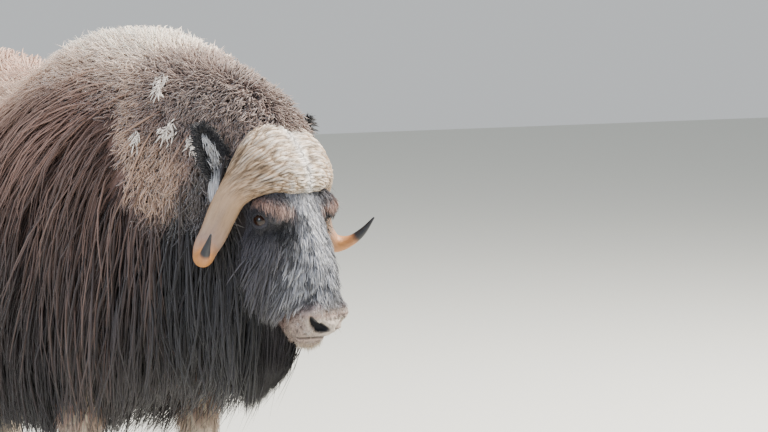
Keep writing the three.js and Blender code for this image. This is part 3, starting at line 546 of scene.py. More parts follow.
def carve_lids(q, side):
    eye = EYE * (1, side, 1)
    gaze, across, upright = eye_axes(side)
    r = q - eye
    radius = np.linalg.norm(r, axis=1)
    u, v = r @ across, r @ upright
    v = v + TILT * u * side
    front = (r @ gaze > 0.002) & (radius < 0.040)
    rim = np.hypot(u / OPENING[0], v / np.where(v > 0, OPENING[1], OPENING[2]))
    ridge = bell(rim - 1.30, 0.16) * 0.0022 + bell(rim - 1.95, 0.15) * 0.0014 * (v > -0.004)
    q += r / radius[:, None] * (front * ridge)[:, None]
    snug = 0.0212 + 0.0035 * np.clip(rim - 1, 0, 3)
    loose = smooth_step(rim, 1.15, 2.5)
    slack = np.maximum(radius - snug, 0) * (1 - loose) * (r @ gaze > -0.004) * (radius < 0.050)
    q -= r / radius[:, None] * slack[:, None]
    r = q - eye
    opening = front & (rim < 1)
    q[opening] = (eye + unit(r) * 0.0155)[opening]


def carve_nostril(q, side):
    mark, normal = nostril_mark(q, side)
    near = np.linalg.norm(q - NOSTRIL * (1, side, 1), axis=1) < 0.045
    q -= (near * (1 - smooth_step(mark, 0.50, 1.10)))[:, None] * 0.022 * normal
    q += (near * bell(mark - 1.50, 0.30))[:, None] * 0.0032 * normal


def carve_face(q):
    q = q.copy()
    for side in (-1, 1):
        m = (1, side, 1)
        hollow = swelling(q, np.array([-0.017, 0.084, -0.084]) * m, (0.034, 0.034, 0.026))
        q[:, 1] -= side * 0.016 * hollow
        q[:, 0] -= 0.006 * hollow
        q[:, 1] += side * 0.009 * swelling(q, np.array([-0.030, 0.096, -0.028]) * m, (0.050, 0.03, 0.016))
        q[:, 1] -= side * 0.007 * swelling(q, np.array([-0.120, 0.112, -0.070]) * m, (0.032, 0.03, 0.040))
        carve_lids(q, side)
        carve_nostril(q, side)
    q[:, 0] += 0.012 * bell(q @ DOWN - 0.185, 0.075) * smooth_step(q @ AHEAD, -0.09, -0.02)
    wide = bell(-q[:, 2] - 0.318, 0.040) * smooth_step(q[:, 0], -0.10, -0.02)
    q[:, 1] *= 1 + 0.13 * wide
    drop = np.maximum(-q[:, 2] - 0.306, 0)
    front = 0.122 - 1.9 * drop - 0.75 * np.abs(q[:, 1]) * smooth_step(drop, 0, 0.03)
    q[:, 0] -= 0.9 * np.maximum(q[:, 0] - front, 0) * smooth_step(-q[:, 2], 0.296, 0.316)
    wrinkle = np.sin(q[:, 2] * 620 + 60 * np.abs(q[:, 1])) * bell(-q[:, 2] - 0.282, 0.022)
    q[:, 0] += 0.0009 * wrinkle * (q @ AHEAD > -0.01)
    groove = bell(mouth_line(q), 0.0036) * smooth_step(q[:, 0], -0.055, -0.030)
    q[:, 0] -= groove * 0.0085
    q[:, 1] -= np.sign(q[:, 1]) * groove * 0.0050 * smooth_step(np.abs(q[:, 1]), 0.01, 0.03)
    cleft = bell(q[:, 1], 0.0028) * smooth_step(-q[:, 2], 0.312, 0.320) * (q @ AHEAD > 0.0)
    q[:, 0] -= cleft * 0.0035 * (q[:, 2] > -0.345)
    return q


co = coordinates(head.data)
q = carve_face(to_head(co))
head.data.vertices.foreach_set("co", head_point(q).ravel())
head.data.update()
print("face carved:", len(q), "points")


# %% Tones of the head's skin and hair by place, laid one over the other like washes of paint
def washes(ground, count):
    tone = np.tile(CHART[ground], (count, 1))

    def lay(colour, share):
        tone[:] += (CHART[colour] - tone) * np.clip(share, 0, 1)[:, None]

    return tone, lay


def speckled(tone, seed, share):
    dice = np.random.default_rng(seed).standard_normal(len(tone))
    return tone * (1 + share * dice)[:, None]


def head_tone(q, seed):
    side = np.abs(q[:, 1])
    tone, lay = washes("face", len(q))
    front = q @ AHEAD
    lay("grey", 0.75 * smooth_step(0.075 - side, 0, 0.045) * smooth_step(front, -0.09, -0.02))
    lay("grey", 0.35 * smooth_step(-q[:, 2], 0.13, 0.20) * smooth_step(front, -0.10, -0.03))
    lay("pale", 0.55 * smooth_step(0.030 - side, 0, 0.020) * smooth_step(front, -0.07, -0.02)
        * smooth_step(0.20 + q[:, 2], 0, 0.10))
    lay("black", 0.85 * bell(near_eye(q), 0.036))
    # The hollow before the eye and the band on the brow are marked on a plane that faces them.
    seen = np.stack([0.753 * q[:, 0] - 0.657 * side, q[:, 2]], 1)
    outer = smooth_step(side, 0.036, 0.050)
    hollow = np.linalg.norm((seen - (-0.050, -0.082)) / (1.0, 0.95), axis=1)
    # The hollow is laid black: painted shade under the brow.
    lay("black", 0.98 * outer * (1 - smooth_step(hollow, 0.026, 0.048)))
    start, stop = np.array([-0.122, -0.008]), np.array([-0.026, -0.034])
    t = np.clip((seen - start) @ (stop - start) / ((stop - start) @ (stop - start)), 0, 1)
    band = np.linalg.norm(seen - start - t[:, None] * (stop - start), axis=1)
    lay("stroke", 0.74 * outer * bell(band, 0.0095))
    lay("face", 0.58 * smooth_step(-q[:, 2], 0.185, 0.245))
    lay("nose", 0.55 * smooth_step(-q[:, 2], 0.235, 0.285) * smooth_step(q[:, 0], -0.085, -0.02))
    lay("muzzle", 0.95 * smooth_step(-q[:, 2] + 0.30 * (q[:, 0] - 0.03), 0.276, 0.300)
        * smooth_step(q[:, 0], -0.090, -0.05))
    lay("brow", 0.60 * smooth_step(-q[:, 2], 0.282, 0.300) * smooth_step(0.075 - q[:, 0], 0, 0.05))
    lay("nose", 0.7 * smooth_step(-q[:, 2], 0.274, 0.288) * smooth_step(q[:, 2], -0.300, -0.286)
        * smooth_step(q[:, 0], 0.02, 0.05))
    return speckled(tone, seed, 0.10)


DEEP_SHADE = np.array([0.004, 0.004, 0.005])  # the inside of nostrils and mouth


def skin_tone_head(q):
    tone = head_tone(q, 5)
    hole = np.zeros(len(q))
    for side in (-1, 1):
        mark, normal = nostril_mark(q, side)
        near = np.linalg.norm(q - NOSTRIL * (1, side, 1), axis=1) < 0.055
        hole = np.maximum(hole, near * (1 - smooth_step(mark, 0.80, 1.08)))
    groove = bell(mouth_line(q), 0.0030) * smooth_step(q[:, 0], -0.055, -0.030)
    hole = np.maximum(hole, 0.9 * groove)
    return tone + (DEEP_SHADE - tone) * hole[:, None]


# %% Tones of the trunk's coat by place, the same for skin and hair
def mantle_edge(level):
    return 0.515 + 0.28 * (0.94 - level)


def trunk_place(p):
    q = p - SHIFT
    top, bottom, half, side, widest = trunk_section(q[:, 0])
    return q, (q[:, 2] - bottom) / (top - bottom), side


def trunk_tone(p, seed, variety=0.16):
    rng = np.random.default_rng(seed)
    q, level, side = trunk_place(p)
    tone, lay = washes("flank", len(q))
    x = q[:, 0]
    edge = x - mantle_edge(level) + 0.012 * rng.standard_normal(len(q))
    lay("saddle", 0.9 * smooth_step(level, 0.72, 0.97) * smooth_step(0.42 - x, 0, 0.25))
    lay("wool", 0.95 * smooth_step(level, 0.86, 1.00) * bell(x - 0.22, 0.34))
    # The top of the hump is laid near white: its wool is pale, and it is lightened further as painted sunlight.
    lay("wool_top", 0.95 * smooth_step(level, 0.95, 1.05) * bell(x - 0.34, 0.24))
    lay("guard", 0.85 * smooth_step(0.66 - level, 0, 0.30))
    lay("black", 0.80 * smooth_step(0.40 - level, 0, 0.28))
    neck = smooth_step(edge, -0.01, 0.02)
    lay("mane", 0.92 * neck * smooth_step(level, 0.55, 0.72))
    crest = smooth_step(x, 0.50, 0.68) * smooth_step(level, 0.70, 0.90)
    lay("flank", 0.80 * crest)
    lay("guard", 0.40 * crest)
    lay("mantle", 0.80 * neck * smooth_step(level, 0.46, 0.54) * smooth_step(0.84 - level, 0, 0.14)
        * smooth_step(0.150 - edge, 0, 0.07))
    lay("mantle", 0.85 * bell(edge - 0.012, 0.020) * smooth_step(level, 0.66, 0.74)
        * smooth_step(1.02 - level, 0, 0.05))
    lay("black", 0.88 * smooth_step(x + 0.10 * (0.8 - level), 0.705, 0.745)
        * smooth_step(0.90 - level, 0, 0.10))
    lay("black", 0.60 * smooth_step(x, 0.60, 0.72) * smooth_step(0.52 - level, 0, 0.2))
    return tone * (1 + variety * rng.standard_normal(len(q)))[:, None]


# %% The unwrap: the trunk on the left of the sheet, the head top right, the legs below it
def turn_share(y, x):
    return np.arctan2(y, x) / (2 * np.pi) + 0.5


def unwrap_head(p):
    q = to_head(p)
    s = along(HEAD, q @ DOWN)
    around = turn_share(q[:, 1], q @ AHEAD - s[:, 1] + s[:, 3])
    return np.stack([0.64 + 0.34 * (q @ DOWN + 0.18) / 0.56, 0.52 + 0.46 * around], 1)


def unwrap_body(p):
    q = p - SHIFT
    top, bottom, half, side, widest = trunk_section(q[:, 0])
    u = 0.01 + 0.60 * (q[:, 0] + 1.09) / 1.93
    v = 0.02 + 0.96 * turn_share(q[:, 1] - side, q[:, 2] - widest)
    quarter = (q[:, 0] > 0).astype(int) * 2 + (q[:, 1] > 0).astype(int)
    middle = np.array([(-0.83, -0.158), (-0.83, 0.158), (0.33, -0.166), (0.33, 0.166)])[quarter]
    around = turn_share(q[:, 1] - middle[:, 1], q[:, 0] - middle[:, 0])
    leg = q[:, 2] < bottom - 0.01
    u = np.where(leg, 0.64 + 0.085 * quarter + 0.075 * around, u)
    v = np.where(leg, 0.03 + 0.42 * np.clip(q[:, 2] / 0.60, 0, 1), v)
    return np.stack([u, v], 1)


# %% Layers of a mesh: values on its points, the unwrap on its corners
FIELD = {"FLOAT": "value", "FLOAT_VECTOR": "vector", "FLOAT_COLOR": "color"}


def set_layer(mesh, name, kind, values):
    layer = mesh.attributes.new(name, kind, "POINT")
    layer.data.foreach_set(FIELD[kind], np.asarray(values, np.float32).ravel())


def set_tone(mesh, tone):
    opaque = np.ones((len(tone), 1))
    set_layer(mesh, "tone", "FLOAT_COLOR", np.hstack([np.clip(tone, 0, 1), opaque]))


def corner_points(mesh):
    points = np.empty(len(mesh.loops), np.int32)
    mesh.loops.foreach_get("vertex_index", points)
    return points


def set_unwrap(mesh, corners):
    layer = mesh.uv_layers.new(name="OFBake")
    layer.data.foreach_set("uv", corners.astype(np.float32).ravel())


def smooth_shaded(mesh):
    mesh.polygons.foreach_set("use_smooth", np.ones(len(mesh.polygons), bool))


def leg_zone(p):
    q = p - SHIFT
    bottom = trunk_section(q[:, 0])[1]
    return smooth_step(bottom + 0.02 - q[:, 2], 0, 0.06)


# %% Paint the skin, unwrap it, keep a copy of both halves for the hair and join them
set_tone(head.data, skin_tone_head(to_head(coordinates(head.data))))
co = coordinates(body.data)
legs = leg_zone(co)[:, None]
set_tone(body.data, trunk_tone(co, 6, 0.05) * 0.7 * (1 - legs) + CHART["stocking"] * legs * 0.8)
for part, unwrap in ((body, unwrap_body), (head, unwrap_head)):
    set_unwrap(part.data, unwrap(coordinates(part.data))[corner_points(part.data)])
    part.data.materials.append(SKIN)
    smooth_shaded(part.data)
head_surface, body_surface = head.data.copy(), body.data.copy()
bpy.ops.object.select_all(action="DESELECT")
body.select_set(True)
head.select_set(True)
bpy.context.view_layer.objects.active = body
bpy.ops.object.join()
skin = body
skin.name = "skin"
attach(skin, "root")
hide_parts("neck", "back", "rump", "flank_right", "flank_left", "head", "tail",
            "fore_leg_right", "fore_leg_left", "hind_leg_right", "hind_leg_left")
print("skin:", len(skin.data.polygons), "faces")


# %% [markdown]
# ### Roots of the hair
#
# Hair grows from the skin, so its roots are scattered over the skin's own triangles. A hair
# system would do this too, but its strands are curves, and the model has to be all meshes.
# Each region has its own number of tufts, and the same dice every time.

# %% Scatter roots over a surface, thinned by a rule of place
def triangles(mesh):
    mesh.calc_loop_triangles()
    corners = np.empty(len(mesh.loop_triangles) * 3, np.int32)
    mesh.loop_triangles.foreach_get("vertices", corners)
    return corners.reshape(-1, 3)


def scatter(surface, count, keep, seed):
    rng = np.random.default_rng(seed)
    tri = coordinates(surface)[triangles(surface)]
    cross = np.cross(tri[:, 1] - tri[:, 0], tri[:, 2] - tri[:, 0])
    area = np.linalg.norm(cross, axis=1) / 2
    weight = area * keep(tri.mean(axis=1))
    pick = rng.choice(len(tri), count, p=weight / weight.sum())
    a, b = rng.random((2, count))
    fold = a + b > 1
    a[fold], b[fold] = 1 - a[fold], 1 - b[fold]
    t = tri[pick]
    roots = t[:, 0] + a[:, None] * (t[:, 1] - t[:, 0]) + b[:, None] * (t[:, 2] - t[:, 0])
    return roots, cross[pick] / (2 * area[pick, None] + 1e-12)


# %% Turn rows of path points into closed, tapered tufts in one mesh
TUFT_SHADE = 0.45   # how dark a tuft is at its root, where its neighbours shade it
PATCH = (0.0016, 0.003)  # width and height of a tuft's patch on the unwrap
THIN = 0.25  # how far a tuft's crest stands out, in widths


def tuft_faces(steps, count):
    per = (steps - 1) * 3 + 1
    faces = [(0, 1, 2)]
    for a in range(0, 3 * (steps - 2), 3):
        for i in range(3):
            j = (i + 1) % 3
            faces += [(a + i, a + 3 + i, a + j), (a + j, a + 3 + i, a + 3 + j)]
    a = 3 * (steps - 2)
    faces += [(a + i, per - 1, a + (i + 1) % 3) for i in range(3)]
    faces = np.array(faces)[:, [0, 2, 1]]
    return (faces[None] + (np.arange(count) * per)[:, None, None]).reshape(-1, 3)


def tuft_points(paths, flat, width, thin):
    count, steps = paths.shape[:2]
    ahead = np.empty_like(paths)
    ahead[:, 1:-1] = paths[:, 2:] - paths[:, :-2]
    ahead[:, 0] = paths[:, 1] - paths[:, 0]
    ahead[:, -1] = paths[:, -1] - paths[:, -2]
    ahead = unit(ahead)
    across = unit(np.cross(ahead, flat[:, None, :]))
    up = np.cross(across, ahead)
    shape = np.sin(np.pi * (0.16 + 0.80 * np.linspace(0, 1, steps))) ** 0.75
    w = (width[:, None] * shape[None])[:, :, None]
    ring = np.stack([paths - across * w * 0.5, paths + across * w * 0.5, paths + up * w * thin], 2)[:, :-1]
    return np.concatenate([ring.reshape(count, -1, 3), paths[:, -1:]], 1)


def tufts(name, paths, flat, width, tone, uv, material, tip_tone=None, thin=THIN):
    count, steps = paths.shape[:2]
    points, faces = tuft_points(paths, flat, width, thin), tuft_faces(steps, count)
    mesh = bpy.data.meshes.new(name)
    mesh.vertices.add(points.size // 3)
    mesh.vertices.foreach_set("co", points.reshape(-1).astype(np.float32))
    mesh.loops.add(faces.size)
    mesh.loops.foreach_set("vertex_index", faces.ravel().astype(np.int32))
    mesh.polygons.add(len(faces))
    mesh.polygons.foreach_set("loop_start", np.arange(0, faces.size, 3, dtype=np.int32))
    mesh.update(calc_edges=True)
    t = np.linspace(0, 1, steps)
    grow = np.append(np.repeat(t[:-1], 3), 1.0)[None, :, None]
    last = tone if tip_tone is None else tip_tone
    shade = tone[:, None] * (1 - grow) + last[:, None] * grow
    shade = shade * (TUFT_SHADE + (1 - TUFT_SHADE) * np.clip(grow * 3.0, 0, 1))
    set_tone(mesh, shade.reshape(-1, 3))
    # Noise read at "strand" changes fast across the tuft and slowly along it.
    dice = np.random.default_rng(count).random((count, 1, 2)) * 400
    across_way = np.append(np.tile([0.0, 7.0, 3.5], steps - 1), 3.5)[None]
    run = np.linalg.norm(paths[:, 1:] - paths[:, :-1], axis=2).sum(axis=1)[:, None] * grow[:, :, 0]
    strand = np.stack([across_way + dice[:, :, 0], run * 14 + dice[:, :, 1], 0 * run], -1)
    set_layer(mesh, "strand", "FLOAT_VECTOR", strand)
    wide = np.append(np.tile([0, 1, 0.5], steps - 1), 0.5) * PATCH[0]
    local = np.stack([wide, grow[0, :, 0] * PATCH[1]], 1)
    set_unwrap(mesh, (uv[:, None] + local[None]).reshape(-1, 2)[faces.ravel()])
    smooth_shaded(mesh)
    mesh.materials.append(material)
    made = bpy.data.objects.new(name, mesh)
    bpy.context.scene.collection.objects.link(made)
    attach(made, "root")
    print(f"{name}: {count} tufts, {len(faces)} triangles")


def coat(name, paths, flat, width, tone, uv, material, tip_tone=None, thin=THIN, limit=190000):
    each = (paths.shape[1] - 2) * 6 + 4
    groups = int(np.ceil(len(paths) * each / limit))
    tip_tone = tone if tip_tone is None else tip_tone
    for g in range(groups):
        part = slice(g, None, groups)
        tufts(f"{name}_{g + 1}" if groups > 1 else name, paths[part], flat[part], width[part],
              tone[part], uv[part], material, tip_tone[part], thin)


# %% [markdown]
# ### The lie of the coat
#
# Hair on the trunk leaves the ridge sideways, drifts back and falls. Every step of a tuft
# follows that way along the skin, at a height of its own above it, then hangs free where the
# body curves away underneath. Tufts near each other lean to a shared line, which draws
# them into locks.

# %% The way of the hair on the trunk, and paths that follow it
def trunk_lie(p):
    q = p - SHIFT
    top, bottom, half, side, widest = trunk_section(q[:, 0])
    high = np.clip((q[:, 2] - widest) / (top - widest), 0, 1)
    way = np.tile([-0.18, 0.0, -1.0], (len(p), 1))
    way[:, 0] -= 1.25 * high ** 1.7
    front = smooth_step(q[:, 0], 0.52, 0.72)
    way[:, 0] += front * (0.14 + 1.1 * high ** 1.7)
    rear = smooth_step(-q[:, 0], 0.90, 1.06)
    way[:, 0] += rear * (0.16 + 0.45 * high ** 3)
    way[:, 1] += np.sign(q[:, 1] - side) * 0.45 * high ** 4
    return way


def touch_trunk(p):
    return trunk_distance(p), outwards(trunk_distance, p)


HEAD_TREE = BVHTree.FromPolygons(coordinates(head_surface).tolist(), triangles(head_surface).tolist())


def touch_head(p):
    hits = [HEAD_TREE.find_nearest(Vector(v)) for v in p]
    near, out = (np.array([hit[k][:] for hit in hits]) for k in (0, 1))
    return ((p - near) * out).sum(axis=1), out


def combed(roots, normals, length, height, seed, steps, lie=trunk_lie, touch=touch_trunk,
           swing=0.10, stand=0.0, sink=0.004):
    rng = np.random.default_rng(seed)
    paths = np.empty((len(roots), steps, 3))
    point = roots - normals * sink
    paths[:, 0] = point
    bend, curl = rng.normal(0, swing, roots.shape), rng.normal(0, swing, roots.shape)
    stride = length / (steps - 1)
    out = normals
    for s in range(1, steps):
        t = s / (steps - 1)
        way = lie(point)
        drop = (way * out).sum(1, keepdims=True)
        way = unit(way - out * np.minimum(drop, 0) - out * np.maximum(drop, 0) * 0.6)
        way = unit(way + bend + curl * math.sin(5 * t) + out * stand * (1 - t))
        if s == 1:
            way = unit(way + 0.35 * normals)
        point = point + way * stride[:, None]
        want = height * min(1.0, 1.6 * t)
        above, out = touch(point)
        point = point + out * np.maximum(want - above, 0)[:, None]
        paths[:, s] = point
    return paths


def clumped(paths, spacing, pull, seed):
    """Draw every tuft towards a leading tuft nearby, and say which tuft that is."""
    rng = np.random.default_rng(seed)
    count = max(2, int(len(paths) / spacing))
    centres = rng.choice(len(paths), count, replace=False)
    tree = KDTree(count)
    for i, c in enumerate(centres):
        tree.insert(paths[c, 0], i)
    tree.balance()
    near = np.array([tree.find(Vector(p))[1] for p in paths[:, 0]])
    lead = paths[centres[near]]
    t = np.linspace(0, 1, paths.shape[1])[None, :, None] ** 1.2
    share = pull * t * (0.75 + 0.25 * rng.random((len(paths), 1, 1)))
    moved = paths + (lead + (paths[:, :1] - lead[:, :1]) * 0.22 - paths) * share
    return moved, centres[near]


# %% [markdown]
# ### Long coat of the trunk
#
# Guard hair is straight and coarse, and its skirts hang to about knee height. One layer of
# tufts would show the skin between them, so tufts of many heights and lengths lie over each
# other like thatch. A tuft is a tapered prism, because a flat ribbon vanishes edge on.

# %% Long guard hair of both sides, rump and neck
def trunk_keep(p):
    q, level, side = trunk_place(p)
    keep = np.where(level > 0.02, 1.0, 0.30)
    keep *= np.where(level < -0.03, 0, 1)
    keep *= np.where(head_distance(p) < 0.015, 0, 1)
    neck = smooth_step(q[:, 0] - mantle_edge(level), -0.02, 0.02) * smooth_step(level, 0.55, 0.66)
    hump = smooth_step(level, 0.93, 1.0) * bell(q[:, 0] - 0.34, 0.40)
    keep *= 1 - 0.93 * neck * (q[:, 0] < 0.74)
    return keep * (1 - 0.6 * hump)


def hem(q):
    low = 0.29 - 0.03 * bell(q[:, 0] + 0.2, 0.5)
    low = low + 0.09 * smooth_step(q[:, 0], 0.40, 0.62)
    return low + 0.16 * smooth_step(-q[:, 0], 0.90, 1.06)


def keep_above(paths, low):
    z0 = paths[:, :1, 2]
    drop = z0 - paths[:, :, 2]
    most = np.maximum(drop.max(axis=1), 1e-6)
    allowed = np.maximum(paths[:, 0, 2] - low, 0.02)
    scale = np.minimum(1, allowed / most)[:, None]
    paths[:, :, 2] = z0 - drop * scale
    return paths


def inside(paths, spare=0.022):
    low, high = np.array(cad_box[0]) - spare, np.array(cad_box[1]) + spare
    paths[..., 0] = np.clip(paths[..., 0], low[0] + spare, high[0] - spare)
    paths[..., 1] = np.clip(paths[..., 1], low[1], high[1])
    paths[..., 2] = np.clip(paths[..., 2], 0.004, high[2])
    return paths


LONG_TUFTS = 17800
rng = np.random.default_rng(21)
roots, normals = scatter(body_surface, LONG_TUFTS, trunk_keep, 22)
q, level, side = trunk_place(roots)
level = np.clip(level, 0, 1)
length = 0.36 + 0.12 * (1 - np.abs(level - 0.4)) - 0.24 * smooth_step(level, 0.80, 1.0)
length *= rng.uniform(0.70, 1.12, len(roots))
length *= 1 - 0.30 * smooth_step(q[:, 0], 0.50, 0.72)
length *= 1 - 0.65 * (q[:, 1] > side + 0.02) * smooth_step(q[:, 0], 0.66, 0.74)
height = rng.uniform(0.004, 0.046, len(roots))
paths = combed(roots, normals, length, height, 23, steps=6, swing=0.12)
paths, leads = clumped(paths, 14, 0.50, 24)
low = hem(q) + rng.uniform(0, 0.08, len(roots))
paths = inside(keep_above(paths, low))
dice = np.random.default_rng(25)
lock_shade = 1 + 0.17 * dice.standard_normal(len(roots))[leads]
stroke = np.clip(dice.standard_normal(len(roots))[leads] * 0.35, 0, 0.8) * smooth_step(level, 0.15, 0.7)
stroke *= q[:, 0] < 0.66
beside = to_head(paths.reshape(-1, 3)).reshape(paths.shape)
astray = (beside[:, :, 0] > -0.15) & (beside[:, :, 1] > -0.02)
good = ~astray.any(axis=1)
paths, roots, lock_shade, stroke = (item[good] for item in (paths, roots, lock_shade, stroke))
root_tone = trunk_tone(paths[:, 2], 26, 0.14) * lock_shade[:, None]
tip_tone = trunk_tone(paths[:, -1], 27, 0.10) * lock_shade[:, None]
root_tone += (CHART["stroke"] - root_tone) * (0.75 * stroke)[:, None]
tip_tone += (CHART["stroke"] - tip_tone) * (0.45 * stroke)[:, None]
coat("coat_long", paths, outwards(trunk_distance, paths[:, 2]), rng.uniform(0.0026, 0.0062, len(roots)),
     root_tone, unwrap_body(roots), GUARD_HAIR, tip_tone, thin=0.22)

# %% [markdown]
# ### Wool of the hump, the back and the crest of the neck
#
# In early summer the under-wool stands out of the coat on the hump. It is short, curly and
# pale, and it points every way, so its tufts stand from the skin and bend at random.

# %% Fleece on the upper side and on the neck
def fleece_keep(p):
    q, level, side = trunk_place(p)
    hump = bell(q[:, 0] - 0.34, 0.36)
    keep = smooth_step(level, 0.86 - 0.08 * hump, 1.00 - 0.06 * hump) * (0.30 + 0.70 * hump)
    neck = smooth_step(q[:, 0] - mantle_edge(level), -0.03, 0.01) * smooth_step(level, 0.44, 0.56)
    neck *= np.where((q[:, 0] > 0.73) & (level < 0.80), 0.15, 1)
    return np.maximum(keep, 0.9 * neck) * (head_distance(p) > 0.012)


FLEECE_TUFTS = 27000
roots, normals = scatter(body_surface, FLEECE_TUFTS, fleece_keep, 31)
rng = np.random.default_rng(32)
q, level, side = trunk_place(roots)
hump = bell(q[:, 0] - 0.30, 0.30) * smooth_step(level, 0.85, 1.0)
length = rng.uniform(0.035, 0.075, len(roots)) * (0.8 + 0.5 * hump)
length *= 1 + 0.6 * smooth_step(0.72 - level, 0, 0.15)
height = rng.uniform(0.012, 0.055, len(roots)) * (0.6 + 0.4 * hump)
paths = combed(roots, normals, length, height, 33, steps=4, swing=0.48, stand=0.7)
paths, leads = clumped(paths, 10, 0.40, 34)
paths = inside(paths)
shade = 1 + 0.14 * np.random.default_rng(35).standard_normal(len(roots))[leads]
tone = trunk_tone(paths[:, 2], 36, 0.12) * shade[:, None]
# Tips are lightened towards the near-white top colour, most on the hump and higher up: pale wool and painted
# sunlight together.
pale_sunlit_tips = np.clip(0.25 + 0.75 * hump, 0, 1) * smooth_step(level, 0.40, 0.9)
tip = tone + (CHART["wool_top"] - tone) * (0.55 * pale_sunlit_tips * (0.5 + 0.5 * rng.random(len(roots))))[:, None]
coat("coat_fleece", paths, outwards(trunk_distance, paths[:, 2]), rng.uniform(0.0022, 0.0050, len(roots)),
     tone, unwrap_body(roots), WOOL, tip)

# %% A few loose flocks of whitish under-wool caught in the coat
TUFTS_IN_FLOCK = 34
rng = np.random.default_rng(38)
flocks = np.array([
    (0.594, -0.062, 1.245), (0.600, -0.070, 1.215), (0.611, -0.139, 1.108), (0.664, -0.084, 1.118),
    (0.668, -0.078, 1.134), (0.710, -0.040, 1.098), (0.722, -0.034, 1.096)])
flocks = np.concatenate([flocks, flocks[:4] * (1, -1, 1) + (-0.12, 0.16, -0.05)])
spot = np.repeat(flocks, TUFTS_IN_FLOCK, axis=0) + SHIFT
spot += rng.normal(0, 1, spot.shape) * (0.008, 0.007, 0.010)
out = outwards(trunk_distance, spot)
spot += out * (0.046 - trunk_distance(spot))[:, None]
way = unit(np.array([-0.4, 0, -0.8]) + rng.normal(0, 0.45, spot.shape) + out * 0.1)
t = np.linspace(0, 1, 4)[None, :, None]
paths = spot[:, None] + way[:, None] * (rng.uniform(0.012, 0.030, len(spot))[:, None, None] * t)
# The flocks take part of the hump top's near-white colour, which carries painted sunlight.
tone = CHART["pale"] * 0.4 + CHART["wool_top"] * 0.55
tone = tone * (1 + 0.08 * rng.standard_normal(len(spot)))[:, None]
coat("coat_flocks", inside(paths), out, rng.uniform(0.002, 0.004, len(spot)), tone, unwrap_body(spot), WOOL)

# %% [markdown]
# ### Hair of the head
#
# The hair of the face starts at the parting of the horns. It runs down the bridge of the
# nose and turns out and back over the cheeks, longer the further it gets from nose and eye.

# %% Short and middle hair of the head
def head_lie(p):
    q = to_head(p)
    side = np.clip(q[:, 1] / 0.08, -1, 1)
    way = np.tile(DOWN, (len(p), 1))
    back = smooth_step(np.abs(q[:, 1]), 0.045, 0.095)
    way = way - AHEAD * (0.85 * back * smooth_step(-q[:, 2], 0.02, 0.16))[:, None]
    way[:, 1] += side * (0.35 * (1 - back))
    low = smooth_step(-q[:, 2], 0.24, 0.30)[:, None]
    way = way * (1 - 0.4 * low) - AHEAD * 0.4 * low
    crown = smooth_step(q[:, 2], -0.03, 0.03)[:, None]
    way = way * (1 - crown) + (AHEAD * 0.3 + DOWN) * crown
    return head_way(way)


def in_opening(q, reach):
    gaze, across, upright = eye_axes(1)
    r = mirrored(q) - EYE
    u = r @ across
    v = r[:, 2] + TILT * u
    return (near_eye(q) < 0.034) & (np.hypot(u / OPENING[0], v / OPENING[1]) < reach)


def nostril_near(q):
    marks = [nostril_mark(q, side)[0] + 9 * (np.linalg.norm(q - NOSTRIL * (1, side, 1), axis=1) > 0.05)
             for side in (-1, 1)]
    return np.minimum(*marks)


def face_keep(p):
    q = to_head(p)
    keep = np.ones(len(p))
    keep[in_opening(q, 1.12)] = 0
    pad = (q @ AHEAD > -0.035) & (q[:, 2] < -0.298) & (q[:, 2] > -0.352)
    keep *= np.where(pad, 0.15, 1)
    keep *= np.where(nostril_near(q) < 1.35, 0, 1)
    keep *= np.where((np.abs(q[:, 2] + 0.343) < 0.006) & (q[:, 0] > 0.0), 0, 1)
    keep *= np.where(q @ AHEAD < -0.190, 0.35, 1)
    keep *= np.where((q[:, 2] > 0.035) & (np.abs(q[:, 1]) < 0.11), 0, 1)
    return keep * (1 + 1.8 * bell(near_eye(q), 0.055))


FACE_TUFTS = 20000
roots, normals = scatter(head_surface, FACE_TUFTS, face_keep, 41)
rng = np.random.default_rng(42)
q = to_head(roots)
away = near_eye(q)
side = np.abs(q[:, 1])
length = 0.024 + 0.018 * smooth_step(-q[:, 2], -0.02, 0.10)
length += 0.075 * smooth_step(side, 0.055, 0.090) * smooth_step(-q[:, 2], 0.08, 0.18)
length += 0.040 * smooth_step(-(q @ AHEAD), 0.02, 0.08) * smooth_step(-q[:, 2], 0.05, 0.15)
length *= 0.34 + 0.66 * smooth_step(away, 0.028, 0.058)
length = np.where((q[:, 2] > -0.030) & (side > 0.05), np.maximum(length, 0.020), length)
# Distance from the hollow before the eye, which is painted black as shade: hair is short there.
dark = np.linalg.norm(mirrored(q) - (-0.014, 0.082, -0.076), axis=1)
length *= 0.35 + 0.65 * smooth_step(dark, 0.020, 0.050)
length *= 1 - 0.45 * smooth_step(-q[:, 2], 0.215, 0.265) * smooth_step(q[:, 0], -0.10, -0.03)
muzzle = 0.009 + 0.030 * smooth_step(-q[:, 0], 0.0, 0.07)
length = np.where(-q[:, 2] > 0.262, np.minimum(length, muzzle), length)
length *= rng.uniform(0.7, 1.2, len(roots))
height = length * rng.uniform(0.08, 0.26, len(roots))
paths = combed(roots, normals, length, height, 43, steps=4, lie=head_lie, touch=touch_head,
               swing=0.14, sink=0.0015)
paths, leads = clumped(paths, 8, 0.55, 44)
streak = np.random.default_rng(45).standard_normal(len(roots))[leads]
tone = head_tone(q, 46) * (1 + 0.16 * streak)[:, None]
front = smooth_step(0.105 - side, 0, 0.05) * smooth_step(q @ AHEAD, -0.10, -0.03)
# No pale streaks near that hollow, so its painted shade stays dark.
front *= 1 - 0.95 * bell(dark, 0.048)
tone *= (1 - np.clip(-streak * 0.35, 0, 0.6) * front)[:, None]
tip = tone + (CHART["pale"] - tone) * np.clip((0.20 + 0.28 * streak) * front, 0, 0.8)[:, None]
width = np.clip(length * 0.075, 0.0011, 0.0040) * rng.uniform(0.7, 1.2, len(roots))
coat("coat_face", paths, normals, width, tone, unwrap_head(roots), SHORT_HAIR, tip)


